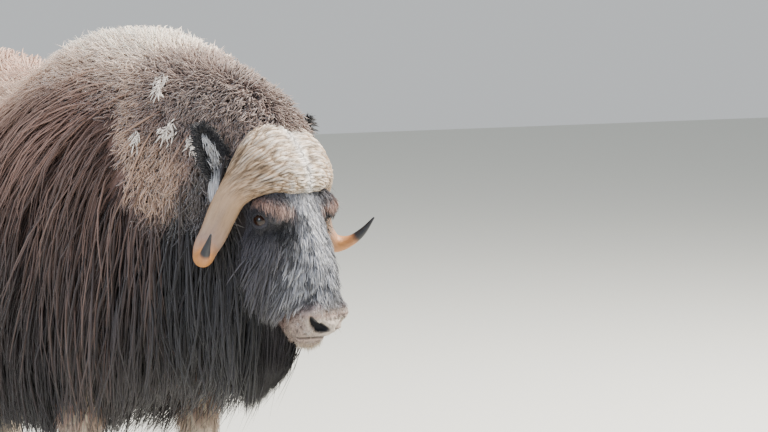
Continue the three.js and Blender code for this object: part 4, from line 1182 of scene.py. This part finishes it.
# %% The beard: hair of throat and jaw that hangs well below the chin
def beard_keep(p):
    q = to_head(p)
    under = smooth_step(-(q @ AHEAD), 0.015, 0.07) * smooth_step(-q[:, 2], 0.16, 0.26)
    return under * np.where(q[:, 0] < -0.045 - 0.30 * np.maximum(np.abs(q[:, 1]) - 0.02, 0), 1, 0)


BEARD_TUFTS, BEARD_STEPS = 4200, 7
roots, normals = scatter(head_surface, BEARD_TUFTS, beard_keep, 51)
rng = np.random.default_rng(52)
q = to_head(roots)
count = len(roots)
tip_f = q[:, 0] - 0.040 + rng.normal(0, 0.012, count)
tip_z = -0.395 - 1.0 * np.clip(-0.036 - tip_f, 0, 0.16) + rng.uniform(-0.012, 0.036, count)
tip = np.stack([tip_f, q[:, 1] * 0.35 + rng.normal(0, 0.012, count), tip_z], 1)
t = np.linspace(0, 1, BEARD_STEPS)[None, :, None]
path = q[:, None] + (tip - q)[:, None] * np.concatenate([t ** 0.8, t ** 0.8, t ** 1.25], 2)
path += rng.normal(0, 0.008, (count, 1, 3)) * np.sin(np.pi * t)
paths = head_point(path)
paths, leads = clumped(paths, 12, 0.45, 53)
paths = inside(paths)
shade = 1 + 0.40 * np.random.default_rng(54).standard_normal(count)[leads]
tone = (CHART["black"] * 0.8 + CHART["guard"] * 0.2) * shade[:, None]
flat = head_way((0.3, 1.0, 0)) * np.sign(q[:, 1])[:, None]
coat("coat_beard", paths, flat, rng.uniform(0.0025, 0.0055, count), tone, unwrap_head(roots), GUARD_HAIR)

# %% [markdown]
# ### Horns
#
# The two halves of the boss almost meet on the forehead. Growth ridges wrinkle the boss, fade
# along the shaft and leave the hooked tip smooth, where the colour runs through amber to black.

# %% Centre line of a horn with its half sizes
HORN = np.array([
    (0, -0.062, 0.000, 0.087, 0.096, 0.036), (1, -0.062, 0.050, 0.085, 0.096, 0.042),
    (2, -0.074, 0.094, 0.068, 0.078, 0.042), (3, -0.098, 0.128, 0.034, 0.055, 0.038),
    (4, -0.118, 0.153, -0.004, 0.042, 0.034), (5, -0.130, 0.172, -0.046, 0.038, 0.034),
    (6, -0.138, 0.192, -0.090, 0.035, 0.032), (7, -0.142, 0.213, -0.120, 0.032, 0.030),
    (8, -0.128, 0.240, -0.143, 0.025, 0.024), (9, -0.101, 0.266, -0.139, 0.015, 0.0145),
    (10, -0.074, 0.286, -0.115, 0.0095, 0.0095), (11, -0.047, 0.300, -0.078, 0.002, 0.002),
])
LAST = HORN[-1, 0]
PARTING = 0.0012  # half of the cleft between the two horns


def horn_frames(t, side):
    mirror = np.array([1, side, 1])
    s = along(HORN, t)
    step = along(HORN, t + 0.2) - along(HORN, t - 0.2)
    ahead = unit(step[:, 1:4] * mirror)
    boss_way, shaft_way = (unit(v - ahead * (ahead @ v)[:, None])
                           for v in np.array([(0.6, 0, -0.8), (1, 0, 0.25)]))
    past = smooth_step(t, 2, 4.5)[:, None]
    broad_way = unit(boss_way * (1 - past) + shaft_way * past)
    return s[:, 1:4] * mirror, broad_way, np.cross(ahead, broad_way), s[:, 4], s[:, 5]


def tube_faces(rows, columns, closed=True):
    faces = [(r * columns + c, r * columns + (c + 1) % columns, (r + 1) * columns + (c + 1) % columns,
              (r + 1) * columns + c) for r in range(rows - 1) for c in range(columns)]
    if closed:
        faces.append(tuple(range(columns))[::-1])
        faces.append(tuple((rows - 1) * columns + c for c in range(columns)))
    return faces


def head_mesh(name, points, faces, tone, side=1):
    if side < 0:  # a mirrored shape is inside out until its faces are turned
        faces = [face[::-1] for face in faces]
    mesh = bpy.data.meshes.new(name)
    mesh.from_pydata(head_point(points).tolist(), [], faces)
    mesh.validate()
    set_tone(mesh, tone)
    return mesh


# %% Growth ridges: waves round the girth whose phase wanders, so that they part and meet
def horn_ridges(t, angle, seed, waves=12):
    rng = np.random.default_rng(seed)
    ridge = np.zeros((len(t), len(angle)))
    for k in range(waves):
        turn = 2.6 * np.sin(rng.uniform(0.6, 1.8) * t + rng.uniform(0, 6.28))
        turn += 0.9 * np.sin(rng.uniform(3.0, 7.0) * t + rng.uniform(0, 6.28))
        swell = 0.55 + 0.45 * np.sin(rng.uniform(2.0, 5.0) * t + rng.uniform(0, 6.28))
        ridge += swell[:, None] * np.sin(rng.integers(11, 34) * angle[None] + turn[:, None])
    return np.clip(np.abs(ridge / 2.3), 0, 1) ** 0.75


HORN_STOPS = [0, 0.16, 0.34, 0.48, 0.62, 0.70, 0.77, 0.845, 0.875, 1]
HORN_COLOURS = ["#D9C4A9", "#B99C7D", "#A38465", "#957A60", "#93796A", "#A57A5A", "#AE7642", "#A8744C",
                "#2B2C30", "#1E1F24"]


def horn_tone(t, angle, crest, rough, middle):
    ramp = np.array([linear(c) for c in HORN_COLOURS])
    tone = np.stack([np.interp(t / LAST, HORN_STOPS, ramp[:, k]) for k in range(3)], 1)
    tone = np.repeat(tone[:, None], len(angle), axis=1)
    # Painted shade darkens the troughs between the growth ridges and a painted highlight lightens their crests,
    # both on the rough boss.
    deep = np.clip(1.2 - crest * 2.2, 0, 1)
    patch = np.sin(9 * t[:, None] + 3 * np.sin(2 * angle)[None]) * np.sin(3 * angle + 1.0)[None]
    high = np.clip(crest * 1.6 - 0.80 + 0.30 * patch, 0, 1) * (1 - 0.7 * smooth_step(t, 1.2, 3.2))[:, None]
    seam = bell(middle - PARTING, 0.013)
    for colour, share in (("#5E4934", 0.90 * deep), ("#FFFAF2", 0.50 * high), ("#FCF6EE", 0.80 * seam)):
        tone += (linear(colour) - tone) * (share * rough[:, None])[:, :, None]
    return tone


def horn_mesh(name, side, rows=150, columns=200, seed=61):
    t = LAST * np.linspace(0, 1, rows) ** 0.95
    angle = np.linspace(0, 2 * np.pi, columns, endpoint=False)
    centre, broad_way, thick_way, broad, thick = horn_frames(t, side)
    rough = 1 - smooth_step(t, 2.0, 4.8)
    crest = horn_ridges(t, angle, seed)
    relief = crest - 0.5
    rings = 0.4 * np.sin(2 * np.pi * t * 5.0 + 0.8 * np.sin(3 * t)) * (1 - smooth_step(t, 5.5, 8.5))
    lift = 0.0042 * relief * (0.10 + 0.90 * rough)[:, None] + 0.0006 * rings[:, None]
    lift += 0.0035 * bell(t, 0.32)[:, None] * (0.6 + relief)
    lift *= (1 - smooth_step(t, 8.0, 10.0))[:, None]
    points = centre[:, None] + broad_way[:, None] * ((broad[:, None] + lift) * np.cos(angle))[:, :, None]
    points = points + thick_way[:, None] * ((thick[:, None] + lift) * np.sin(angle))[:, :, None]
    points[:, :, 1] = side * np.maximum(side * points[:, :, 1], PARTING + 0.0010 * relief)
    tone = horn_tone(t, angle, crest, rough, np.abs(points[:, :, 1]))
    mesh = head_mesh(name, points.reshape(-1, 3), tube_faces(rows, columns), tone.reshape(-1, 3), side)
    set_layer(mesh, "rough", "FLOAT", np.repeat(rough, columns))
    # The fibres run along the horn, so the grain's third direction is drawn out about six times.
    grain = np.stack([broad[:, None] * np.cos(angle), thick[:, None] * np.sin(angle),
                      np.repeat((t * 0.052 * 0.16)[:, None], columns, axis=1)], 2)
    set_layer(mesh, "grain", "FLOAT_VECTOR", grain)
    return mesh


# %% Horn material and the two horns
FIBRE_SCALE = 150  # patches to a metre across the horn: one for every 7 mm, parted by fine detail


def horn_material():
    # Horn is layered keratin: worn and furrowed on the boss, polished by rubbing at the tip.
    material, tree, shader = new_material("horn_keratin", **{"Roughness": 0.5, "Specular IOR Level": 0.4})
    colour = add_node(tree, "ShaderNodeAttribute", attribute_name="tone")
    worn = add_node(tree, "ShaderNodeAttribute", attribute_name="rough")
    place = add_node(tree, "ShaderNodeAttribute", attribute_name="grain")
    fibre = add_node(tree, "ShaderNodeTexNoise", {
        "Vector": place.outputs["Vector"], "Scale": FIBRE_SCALE, "Detail": 8, "Roughness": 0.62,
        "Distortion": 0.5})
    furrow = add_node(tree, "ShaderNodeMapRange",
                      {"Value": fibre.outputs["Fac"], "From Min": 0.36, "From Max": 0.56})
    depth = add_node(tree, "ShaderNodeMapRange",
                     {"Value": worn.outputs["Fac"], "To Min": 0.90, "To Max": 0.36})
    # The furrows of the fibre noise, where the bump sinks, are darkened in the colour: painted shade, deepest on
    # the rough boss.
    dark = add_node(tree, "ShaderNodeMapRange", {
        "Value": furrow.outputs["Result"], "To Min": depth.outputs["Result"], "To Max": 1.10})
    shade = add_node(tree, "ShaderNodeVectorMath",
                     {0: colour.outputs["Color"], "Scale": dark.outputs["Result"]}, operation="SCALE")
    height = add_node(tree, "ShaderNodeMath",
                      {0: furrow.outputs["Result"], 1: worn.outputs["Fac"]}, operation="MULTIPLY")
    total = add_node(tree, "ShaderNodeMath",
                     {0: fibre.outputs["Fac"], 1: 0.35, 2: height.outputs["Value"]},
                     operation="MULTIPLY_ADD")
    bump = add_node(tree, "ShaderNodeBump",
                    {"Height": total.outputs["Value"], "Strength": 0.8, "Distance": 0.003})
    tree.links.new(shade.outputs["Vector"], shader.inputs["Base Color"])
    tree.links.new(bump.outputs["Normal"], shader.inputs["Normal"])
    return material


HORN_MATERIAL = horn_material()


def placed(mesh, material, replaced):
    mesh.materials.append(material)
    smooth_shaded(mesh)
    made = bpy.data.objects.new(mesh.name, mesh)
    bpy.context.scene.collection.objects.link(made)
    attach(made, "root")
    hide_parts(replaced)


for word, side in SIDES:
    placed(horn_mesh(f"keratin_{word}", side), HORN_MATERIAL, f"horn_{word}")
print("horns made")

# %% [markdown]
# ### Eyes
#
# A muskox has a dark brown eye with a wide, level pupil. A clear shell over a ball would do,
# but one ball is simpler to export: it bulges over the iris, its own points carry the colours,
# and a low roughness makes it look wet. It sits back behind the lids.

# %% Eyeballs with a bulged cornea and an iris drawn by the mesh's own colours
def eye_mesh(name, side, columns=48, rows=32):
    axes = np.stack(eye_axes(side))
    theta, phi = np.meshgrid(np.linspace(0, np.pi, rows),
                             np.linspace(0, 2 * np.pi, columns, endpoint=False),
                             indexing="ij")
    theta, phi = theta.ravel(), phi.ravel()
    ball_way = np.stack([np.cos(theta), np.sin(theta) * np.cos(phi), np.sin(theta) * np.sin(phi)], 1)
    bulge = 0.0014 * np.maximum(0, 1 - (theta / 0.62) ** 2)
    points = EYE * (1, side, 1) + ball_way @ axes * (EYE_RADIUS + 0.0006 + bulge)[:, None]
    pupil = np.hypot(ball_way[:, 1] / 0.38, ball_way[:, 2] / 0.22) < 1
    iris = theta < 0.72
    tone = np.where(pupil[:, None], linear("#08080A"),
                    np.where(iris[:, None], linear("#24150E"), linear("#33241D")))
    faces = [(a, d, c, b) for a, b, c, d in tube_faces(rows, columns, closed=False)]
    return head_mesh(name, points, faces, tone)


def eye_material():
    # A wet cornea mirrors the light in one small, sharp spot.
    material, tree, shader = new_material("wet_eye", **{"Roughness": 0.06, "Coat Weight": 0.0,
                                                        "Specular IOR Level": 0.42})
    colour = add_node(tree, "ShaderNodeAttribute", attribute_name="tone")
    tree.links.new(colour.outputs["Color"], shader.inputs["Base Color"])
    return material


EYE_MATERIAL = eye_material()
for word, side in SIDES:
    placed(eye_mesh(f"eyeball_{word}", side), EYE_MATERIAL, f"eye_{word}")
print("eyes made")


# %% [markdown]
# ### Lashes and bristles
#
# Dark lashes stand along the upper lid, and short stiff bristles round the lips and on the
# chin. They are one shape many times over, so a node tree sets a bent, tapered bristle on
# every root, turned the way that the root carries as an attribute.

# %% The node tree: a bent cone on every root
def bristle_tree():
    tree = bpy.data.node_groups.new("bristles", "GeometryNodeTree")
    tree.interface.new_socket(name="Roots", in_out="INPUT", socket_type="NodeSocketGeometry")
    identifiers = {}
    for name, kind in (("Length", "Float"), ("Thickness", "Float"), ("Bend", "Float"), ("Seed", "Int"),
                       ("Hair", "Material")):
        socket = tree.interface.new_socket(name=name, in_out="INPUT", socket_type="NodeSocket" + kind)
        identifiers[name] = socket.identifier
    tree.interface.new_socket(name="Bristles", in_out="OUTPUT", socket_type="NodeSocketGeometry")
    given = add_node(tree, "NodeGroupInput").outputs
    cone = add_node(tree, "GeometryNodeMeshCone", {
        "Vertices": 5, "Side Segments": 5, "Radius Top": 0.00005, "Radius Bottom": given["Thickness"],
        "Depth": given["Length"]})
    place = add_node(tree, "GeometryNodeInputPosition")
    high = add_node(tree, "ShaderNodeSeparateXYZ", {0: place.outputs[0]}).outputs["Z"]
    square = add_node(tree, "ShaderNodeMath", {0: high, 1: high}, operation="MULTIPLY")
    lean = add_node(tree, "ShaderNodeMath", {0: square.outputs[0], 1: given["Bend"]}, operation="MULTIPLY")
    offset = add_node(tree, "ShaderNodeCombineXYZ", {"X": lean.outputs[0]})
    bent = add_node(tree, "GeometryNodeSetPosition",
                    {"Geometry": cone.outputs["Mesh"], "Offset": offset.outputs[0]})
    way = add_node(tree, "GeometryNodeInputNamedAttribute", {"Name": "way"}, data_type="FLOAT_VECTOR")
    point = add_node(tree, "FunctionNodeAlignRotationToVector", {"Vector": way.outputs[0]}, axis="Z")
    droop = add_node(tree, "FunctionNodeAlignRotationToVector",
                     {"Rotation": point.outputs[0], "Vector": (0, 0, -1)}, axis="X", pivot_axis="Z")
    size = add_node(tree, "FunctionNodeRandomValue", {"Seed": given["Seed"], 2: 0.65, 3: 1.2},
                    data_type="FLOAT")
    copies = add_node(tree, "GeometryNodeInstanceOnPoints", {
        "Points": given["Roots"], "Instance": bent.outputs[0], "Rotation": droop.outputs[0],
        "Scale": size.outputs[1]})
    real = add_node(tree, "GeometryNodeRealizeInstances", {0: copies.outputs[0]})
    dressed = add_node(tree, "GeometryNodeSetMaterial",
                       {"Geometry": real.outputs[0], "Material": given["Hair"]})
    add_node(tree, "NodeGroupOutput", {0: dressed.outputs[0]})
    return tree, identifiers


BRISTLES, BRISTLE_INPUTS = bristle_tree()


def bristles(name, roots, ways, tone, **settings):
    made = plain_object(name, roots, [])
    set_layer(made.data, "way", "FLOAT_VECTOR", ways)
    set_layer(made.data, "patch", "FLOAT_VECTOR", np.pad(unwrap_head(roots), ((0, 0), (0, 1))))
    grow = made.modifiers.new("bristles", "NODES")
    grow.node_group = BRISTLES
    for key, value in settings.items():
        grow[BRISTLE_INPUTS[key]] = value
    graph = bpy.context.evaluated_depsgraph_get()
    mesh = bpy.data.meshes.new_from_object(made.evaluated_get(graph), preserve_all_data_layers=True,
                                           depsgraph=graph)
    made.modifiers.clear()
    made.data = mesh
    patch = np.empty(len(mesh.vertices) * 3, np.float32)
    mesh.attributes["patch"].data.foreach_get("vector", patch)
    corner = corner_points(mesh)
    spread = np.stack([corner % 5 * 0.0004, corner // 5 % 6 * 0.0005], 1)
    for old in list(mesh.uv_layers):
        mesh.uv_layers.remove(old)
    set_unwrap(mesh, patch.reshape(-1, 3)[corner, :2] + spread)
    set_tone(mesh, np.tile(tone, (len(mesh.vertices), 1)))
    smooth_shaded(mesh)
    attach(made, "root")
    print(f"{name}: {len(roots)} bristles, {len(mesh.polygons)} faces")


# %% Lashes along the upper lids
def lash_roots(side, count=46):
    gaze, across, upright = eye_axes(side)
    angle = np.linspace(0.25, math.pi - 0.25, count)
    u, v = 1.10 * OPENING[0] * np.cos(angle), 1.10 * OPENING[1] * np.sin(angle)
    out = across * u[:, None] + upright * (v - TILT * u * side)[:, None] + gaze * 0.012
    lid = head_point(EYE * (1, side, 1) + out)
    lid = np.array([HEAD_TREE.find_nearest(Vector(p))[0][:] for p in lid])
    way = unit(gaze * 0.9 + upright * 0.35 + across * (u * 22)[:, None])
    return lid, head_way(way)


rng = np.random.default_rng(71)
for word, side in SIDES:
    roots, ways = lash_roots(side)
    ways = unit(ways + rng.normal(0, 0.12, ways.shape))
    bristles(f"coat_lashes_{word}", roots, ways, CHART["black"] * 0.7,
             Length=0.015, Thickness=0.0005, Bend=14.0, Seed=3, Hair=SHORT_HAIR)


# %% Bristles round the lips and on the chin
def bristle_keep(p):
    q = to_head(p)
    chin = smooth_step(-q[:, 2], 0.350, 0.362) * smooth_step(q[:, 0], -0.07, -0.03)
    lip = bell(q[:, 2] + 0.326, 0.008) * smooth_step(q[:, 0], -0.06, -0.01) * 0.12
    return (chin + lip) * (nostril_near(q) > 1.6)


LIP_BRISTLES = 420
roots, normals = scatter(head_surface, LIP_BRISTLES, bristle_keep, 72)
ways = unit(normals * 0.6 + np.array([0, 0, -0.6]) + rng.normal(0, 0.25, normals.shape))
bristles("coat_bristles", roots, ways, CHART["stocking"] * 0.9,
         Length=0.014, Thickness=0.0005, Bend=8.0, Seed=5, Hair=SHORT_HAIR)

# %% [markdown]
# ### Ears
#
# Each ear is a cupped leaf that tapers to a rounded tip, black outside, with pale hair in
# the cup and a pale tassel that hangs from its foot. A formula for its width, its cup and its
# thickness gives the leaf, and the same formula gives the roots of its hair.

# %% Ear leaves with their hair
EAR_ROOT = np.array([-0.172, 0.122, 0.040])
EAR_TIP = np.array([-0.178, 0.202, 0.172])


def ear_frame(side):
    m = np.array([1, side, 1])
    root, tip = EAR_ROOT * m, EAR_TIP * m
    length_way = unit(tip - root)
    cup_way = np.array([0.9, side * 0.45, -0.1])
    cup_way = unit(cup_way - length_way * (cup_way @ length_way))
    return root, tip, length_way, cup_way, np.cross(length_way, cup_way)


def ear_point(side, t, v, face):
    root, tip, length_way, cup_way, across = ear_frame(side)
    width = 0.035 * np.sin(np.pi * (0.2 + 0.76 * t)) ** 0.8
    thick = 0.008 * (1 - 0.5 * t) * np.sqrt(np.maximum(0.05, 1 - v * v))
    cup = 0.018 * np.sin(np.pi * (0.12 + 0.8 * t))
    middle = root + length_way * np.atleast_1d(t * np.linalg.norm(tip - root))[:, None]
    return middle + across * (width * v)[:, None] + cup_way * (cup * v * v + face * thick / 2)[:, None]


def ear_mesh(name, side, rows=30, columns=14):
    across = np.linspace(-1, 1, columns)
    around, face = np.append(across, across[::-1]), np.repeat([1, -1], columns)
    points = np.concatenate([ear_point(side, t, around, face) for t in np.linspace(0, 1, rows)])
    tone = np.tile(CHART["black"] * 0.8, (len(points), 1))
    return head_mesh(name, points, tube_faces(rows, 2 * columns), tone, side)


def straight(start, reach, steps=4):
    """Points along each way from its start, the last at the end of its reach."""
    return start[:, None] + reach[:, None] * np.linspace(0, 1, steps)[None, :, None]


def ear_fringe(side, rng, count=1500):
    root, tip, length_way, cup_way, across = ear_frame(side)
    t, v = rng.uniform(0.02, 0.97, count), rng.uniform(-1, 1, count)
    face = np.where(rng.random(count) < 0.45, 1, -1)
    base = ear_point(side, t, v, face)
    pale = (face > 0) & (np.abs(v + 0.15 * rng.normal(0, 1, count)) < 0.30) & (t < 0.85)
    length = rng.uniform(0.014, 0.028, count) * np.where(pale, 1.3, 1.0)
    outward = (face * rng.uniform(0.15, 0.5, count))[:, None]
    way = unit(length_way * 0.7 + across * (0.5 * v)[:, None] + cup_way * outward
               + rng.normal(0, 0.15, (count, 3)))
    way = way * np.where(pale, -1, 1)[:, None] + cup_way * np.where(pale, 0.5, 0)[:, None]
    paths = straight(base, unit(way) * length[:, None])
    paths[:, :, 2] -= length[:, None] * 0.35 * np.linspace(0, 1, 4) ** 2
    tone = np.where(pale[:, None], CHART["pale"] * 0.85, CHART["black"] * 0.9)
    return paths, tone * (1 + 0.2 * rng.normal(0, 1, (count, 1)))


def ear_tassel(side, rng, count=150):
    root, tip, length_way, cup_way, across = ear_frame(side)
    start = root + np.array([-0.010, side * 0.018, 0.020]) + cup_way * 0.012
    start = start + rng.normal(0, 0.007, (count, 3))
    fall = rng.uniform(0.05, 0.16, count)[:, None] * np.array([0.02, side * 0.12, -1])
    hang = straight(start, fall)
    hang += rng.normal(0, 0.006, (count, 1, 3)) * np.linspace(0, 1, 4)[None, :, None]
    tone = np.tile(CHART["pale"] * 0.9, (count, 1)) * (1 + 0.1 * rng.normal(0, 1, (count, 1)))
    return hang, tone


def ear_hair(side, word, seed):
    rng = np.random.default_rng(seed)
    (fringe, fringe_tone), (tassel, tassel_tone) = ear_fringe(side, rng), ear_tassel(side, rng)
    paths = head_point(np.concatenate([fringe, tassel]))
    uv = np.stack([0.02 + 0.10 * rng.random(len(paths)), 0.02 + 0.9 * rng.random(len(paths))], 1)
    width = np.append(rng.uniform(0.0016, 0.0032, len(fringe)), rng.uniform(0.0018, 0.0038, len(tassel)))
    flat = np.tile(head_way(ear_frame(side)[3]), (len(paths), 1))
    tone = np.concatenate([fringe_tone, tassel_tone])
    tufts(f"coat_ear_{word}", paths, flat, width, tone, uv, SHORT_HAIR)


for word, side in SIDES:
    placed(ear_mesh(f"leaf_{word}", side), SKIN, f"ear_{word}")
    ear_hair(side, word, 70 + side)

# %% [markdown]
# ### Legs, hooves and tail
#
# The legs wear short pale hair. Each foot is two claws with a worn edge, rings of growth and
# two dewclaws behind. Claws, dewclaws and the pad are lofted one by one and welded by a
# remesh, which rounds the places where they meet.

# %% Short hair on the legs
def leg_keep(p):
    q = p - SHIFT
    return leg_zone(p) * (q[:, 2] > 0.085)


LEG_TUFTS = 5000
LEG_LIE = np.array([-0.12, 0, -1.0])
roots, normals = scatter(body_surface, LEG_TUFTS, leg_keep, 81)
rng = np.random.default_rng(82)
count = len(roots)
length = rng.uniform(0.022, 0.045, count) * (0.7 + 0.8 * smooth_step(roots[:, 2], 0.10, 0.40))
way = unit(LEG_LIE + normals * 0.14 + rng.normal(0, 0.10, (count, 3)))
paths = straight(roots - normals * 0.002, way * length[:, None])
paths += normals[:, None] * (0.004 * np.sin(np.pi * 0.8 * np.linspace(0, 1, 4)))[None, :, None]
paths[:, :, 2] = np.maximum(paths[:, :, 2], 0.070)
paths, leads = clumped(paths, 6, 0.4, 83)
shade = 1 + 0.12 * np.random.default_rng(84).standard_normal(count)[leads]
high = smooth_step(roots[:, 2], 0.30, 0.46)[:, None]
tone = (CHART["stocking"] * (1 - high) + CHART["flank"] * high) * shade[:, None]
coat("coat_legs", paths, normals, rng.uniform(0.0025, 0.0050, count), tone, unwrap_body(roots), SHORT_HAIR)


# %% Cloven hooves with growth rings
RING_SCALE = 38  # a ring of growth for about every 8 mm of hoof


def hoof_material():
    # Hoof horn is keratin too, dark and dull from wear, with rings where it grew.
    material, tree, shader = new_material("hoof_horn", **{"Roughness": 0.5})
    place = add_node(tree, "ShaderNodeTexCoord")
    rings = add_node(tree, "ShaderNodeTexWave",
                     {"Vector": place.outputs["Object"], "Scale": RING_SCALE, "Distortion": 2.0},
                     bands_direction="Z")
    ramp = add_node(tree, "ShaderNodeValToRGB", {"Fac": rings.outputs["Fac"]})
    ramp.color_ramp.elements[0].color = (*linear("#1C1815"), 1)
    ramp.color_ramp.elements[1].color = (*linear("#3B322B"), 1)
    bump = add_node(tree, "ShaderNodeBump",
                    {"Height": rings.outputs["Fac"], "Strength": 0.3, "Distance": 0.002})
    tree.links.new(ramp.outputs["Color"], shader.inputs["Base Color"])
    tree.links.new(bump.outputs["Normal"], shader.inputs["Normal"])
    return material


HOOF_MATERIAL = hoof_material()


# A claw by height: its growth and how far it leans back; a dewclaw and the pad likewise.
CLAW = [(0.0, 0.97, 0), (0.004, 1.0, 0), (0.016, 1.02, 0), (0.030, 0.96, 0.003), (0.044, 0.88, 0.007),
        (0.058, 0.76, 0.010), (0.072, 0.62, 0.012)]
DEWCLAW = [(0.072, 0.004, 0.006), (0.078, 0.011, 0.004), (0.092, 0.014, 0.0), (0.106, 0.008, -0.004)]
PAD = [(0.020, 0.030, 0.026), (0.050, 0.042, 0.040), (0.078, 0.047, 0.045)]
HOOF_VOXEL = 0.0032
FEET = {"fore": (FORE_LEG, 0.066, 0.033, 0.034), "hind": (HIND_LEG, 0.060, 0.029, 0.030)}
FLOOR_GAP = 0.0005  # the soles end this much above the floor


def hoof(name, x, y, long, wide, apart):
    angle = np.linspace(0, 2 * np.pi, 28, endpoint=False)
    c, s = np.cos(angle), np.sin(angle)

    def ring(px, py, z):
        return np.stack([px, py, np.full(len(angle), z)], 1)

    parts = []
    for turn in (-1, 1):
        toe = np.where(c > 0, 1.08 - 0.10 * np.abs(s), 0.9)
        flank = np.where(turn * s < 0, 0.72, 1.0)  # the claws are flat where they face each other
        parts.append(loft([ring(x + 0.006 - back + long * toe * grow * c,
                                y + turn * apart + wide * flank * grow * s, z) for z, grow, back in CLAW]))
        parts.append(loft([ring(x - 0.046 - lean + r * c, y + turn * 0.022 + 0.8 * r * s, z)
                           for z, r, lean in DEWCLAW]))
    parts.append(loft([ring(x + a * c, y + b * s, z) for z, a, b in PAD]))
    return welded(name, parts, HOOF_VOXEL, 2)


for word, side in SIDES:
    for end, (leg, *sizes) in FEET.items():
        made = hoof(f"claws_{end}_{word}", leg[0] + SHIFT[0], side * leg[1] + SHIFT[1], *sizes)
        made.data.materials.append(HOOF_MATERIAL)
        smooth_shaded(made.data)
        low = coordinates(made.data)
        low[:, 2] = np.maximum(low[:, 2], FLOOR_GAP)
        made.data.vertices.foreach_set("co", low.ravel())
        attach(made, "root")
        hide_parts(f"{end}_hoof_{word}")
print("hooves made")

# %% Tail: a short tuft that hangs between the locks of the rump
rng = np.random.default_rng(91)
count = 700
base = SHIFT + np.array([-1.072, 0, 0.93])
start = base + rng.normal(0, 1, (count, 3)) * (0.006, 0.026, 0.035)
fall = rng.uniform(0.12, 0.22, count)[:, None]
paths = straight(start, np.array([-0.10, 0, -1.0]) * fall, 5)
paths[:, :, 1] -= (start[:, None, 1] - base[1]) * 0.4 * np.linspace(0, 1, 5) ** 2
paths[:, :, 0] = np.maximum(paths[:, :, 0], cad_box[0][0] + 0.004)
tone = CHART["flank"] * (1 + 0.15 * rng.standard_normal(count))[:, None]
coat("coat_tail", paths, np.tile([-1.0, 0, 0.2], (count, 1)), rng.uniform(0.004, 0.007, count), tone,
     unwrap_body(start), GUARD_HAIR)

# %% Sizes of the solids and of the dressed model
for spare in (body_surface, head_surface):
    bpy.data.meshes.remove(spare)
visual = [o for o in bpy.context.scene.objects if o.type == "MESH" and not o.hide_render and "floor" not in o.name]
low, high = np.full(3, 9.0), np.full(3, -9.0)
for o in visual:
    if o.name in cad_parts:
        continue
    co = coordinates(o.data)
    low, high = np.minimum(low, co.min(axis=0)), np.maximum(high, co.max(axis=0))
sizes = {"solids": [list(map(float, corner)) for corner in cad_box], "visual": [low.tolist(), high.tolist()]}
print("sizes:", sizes)
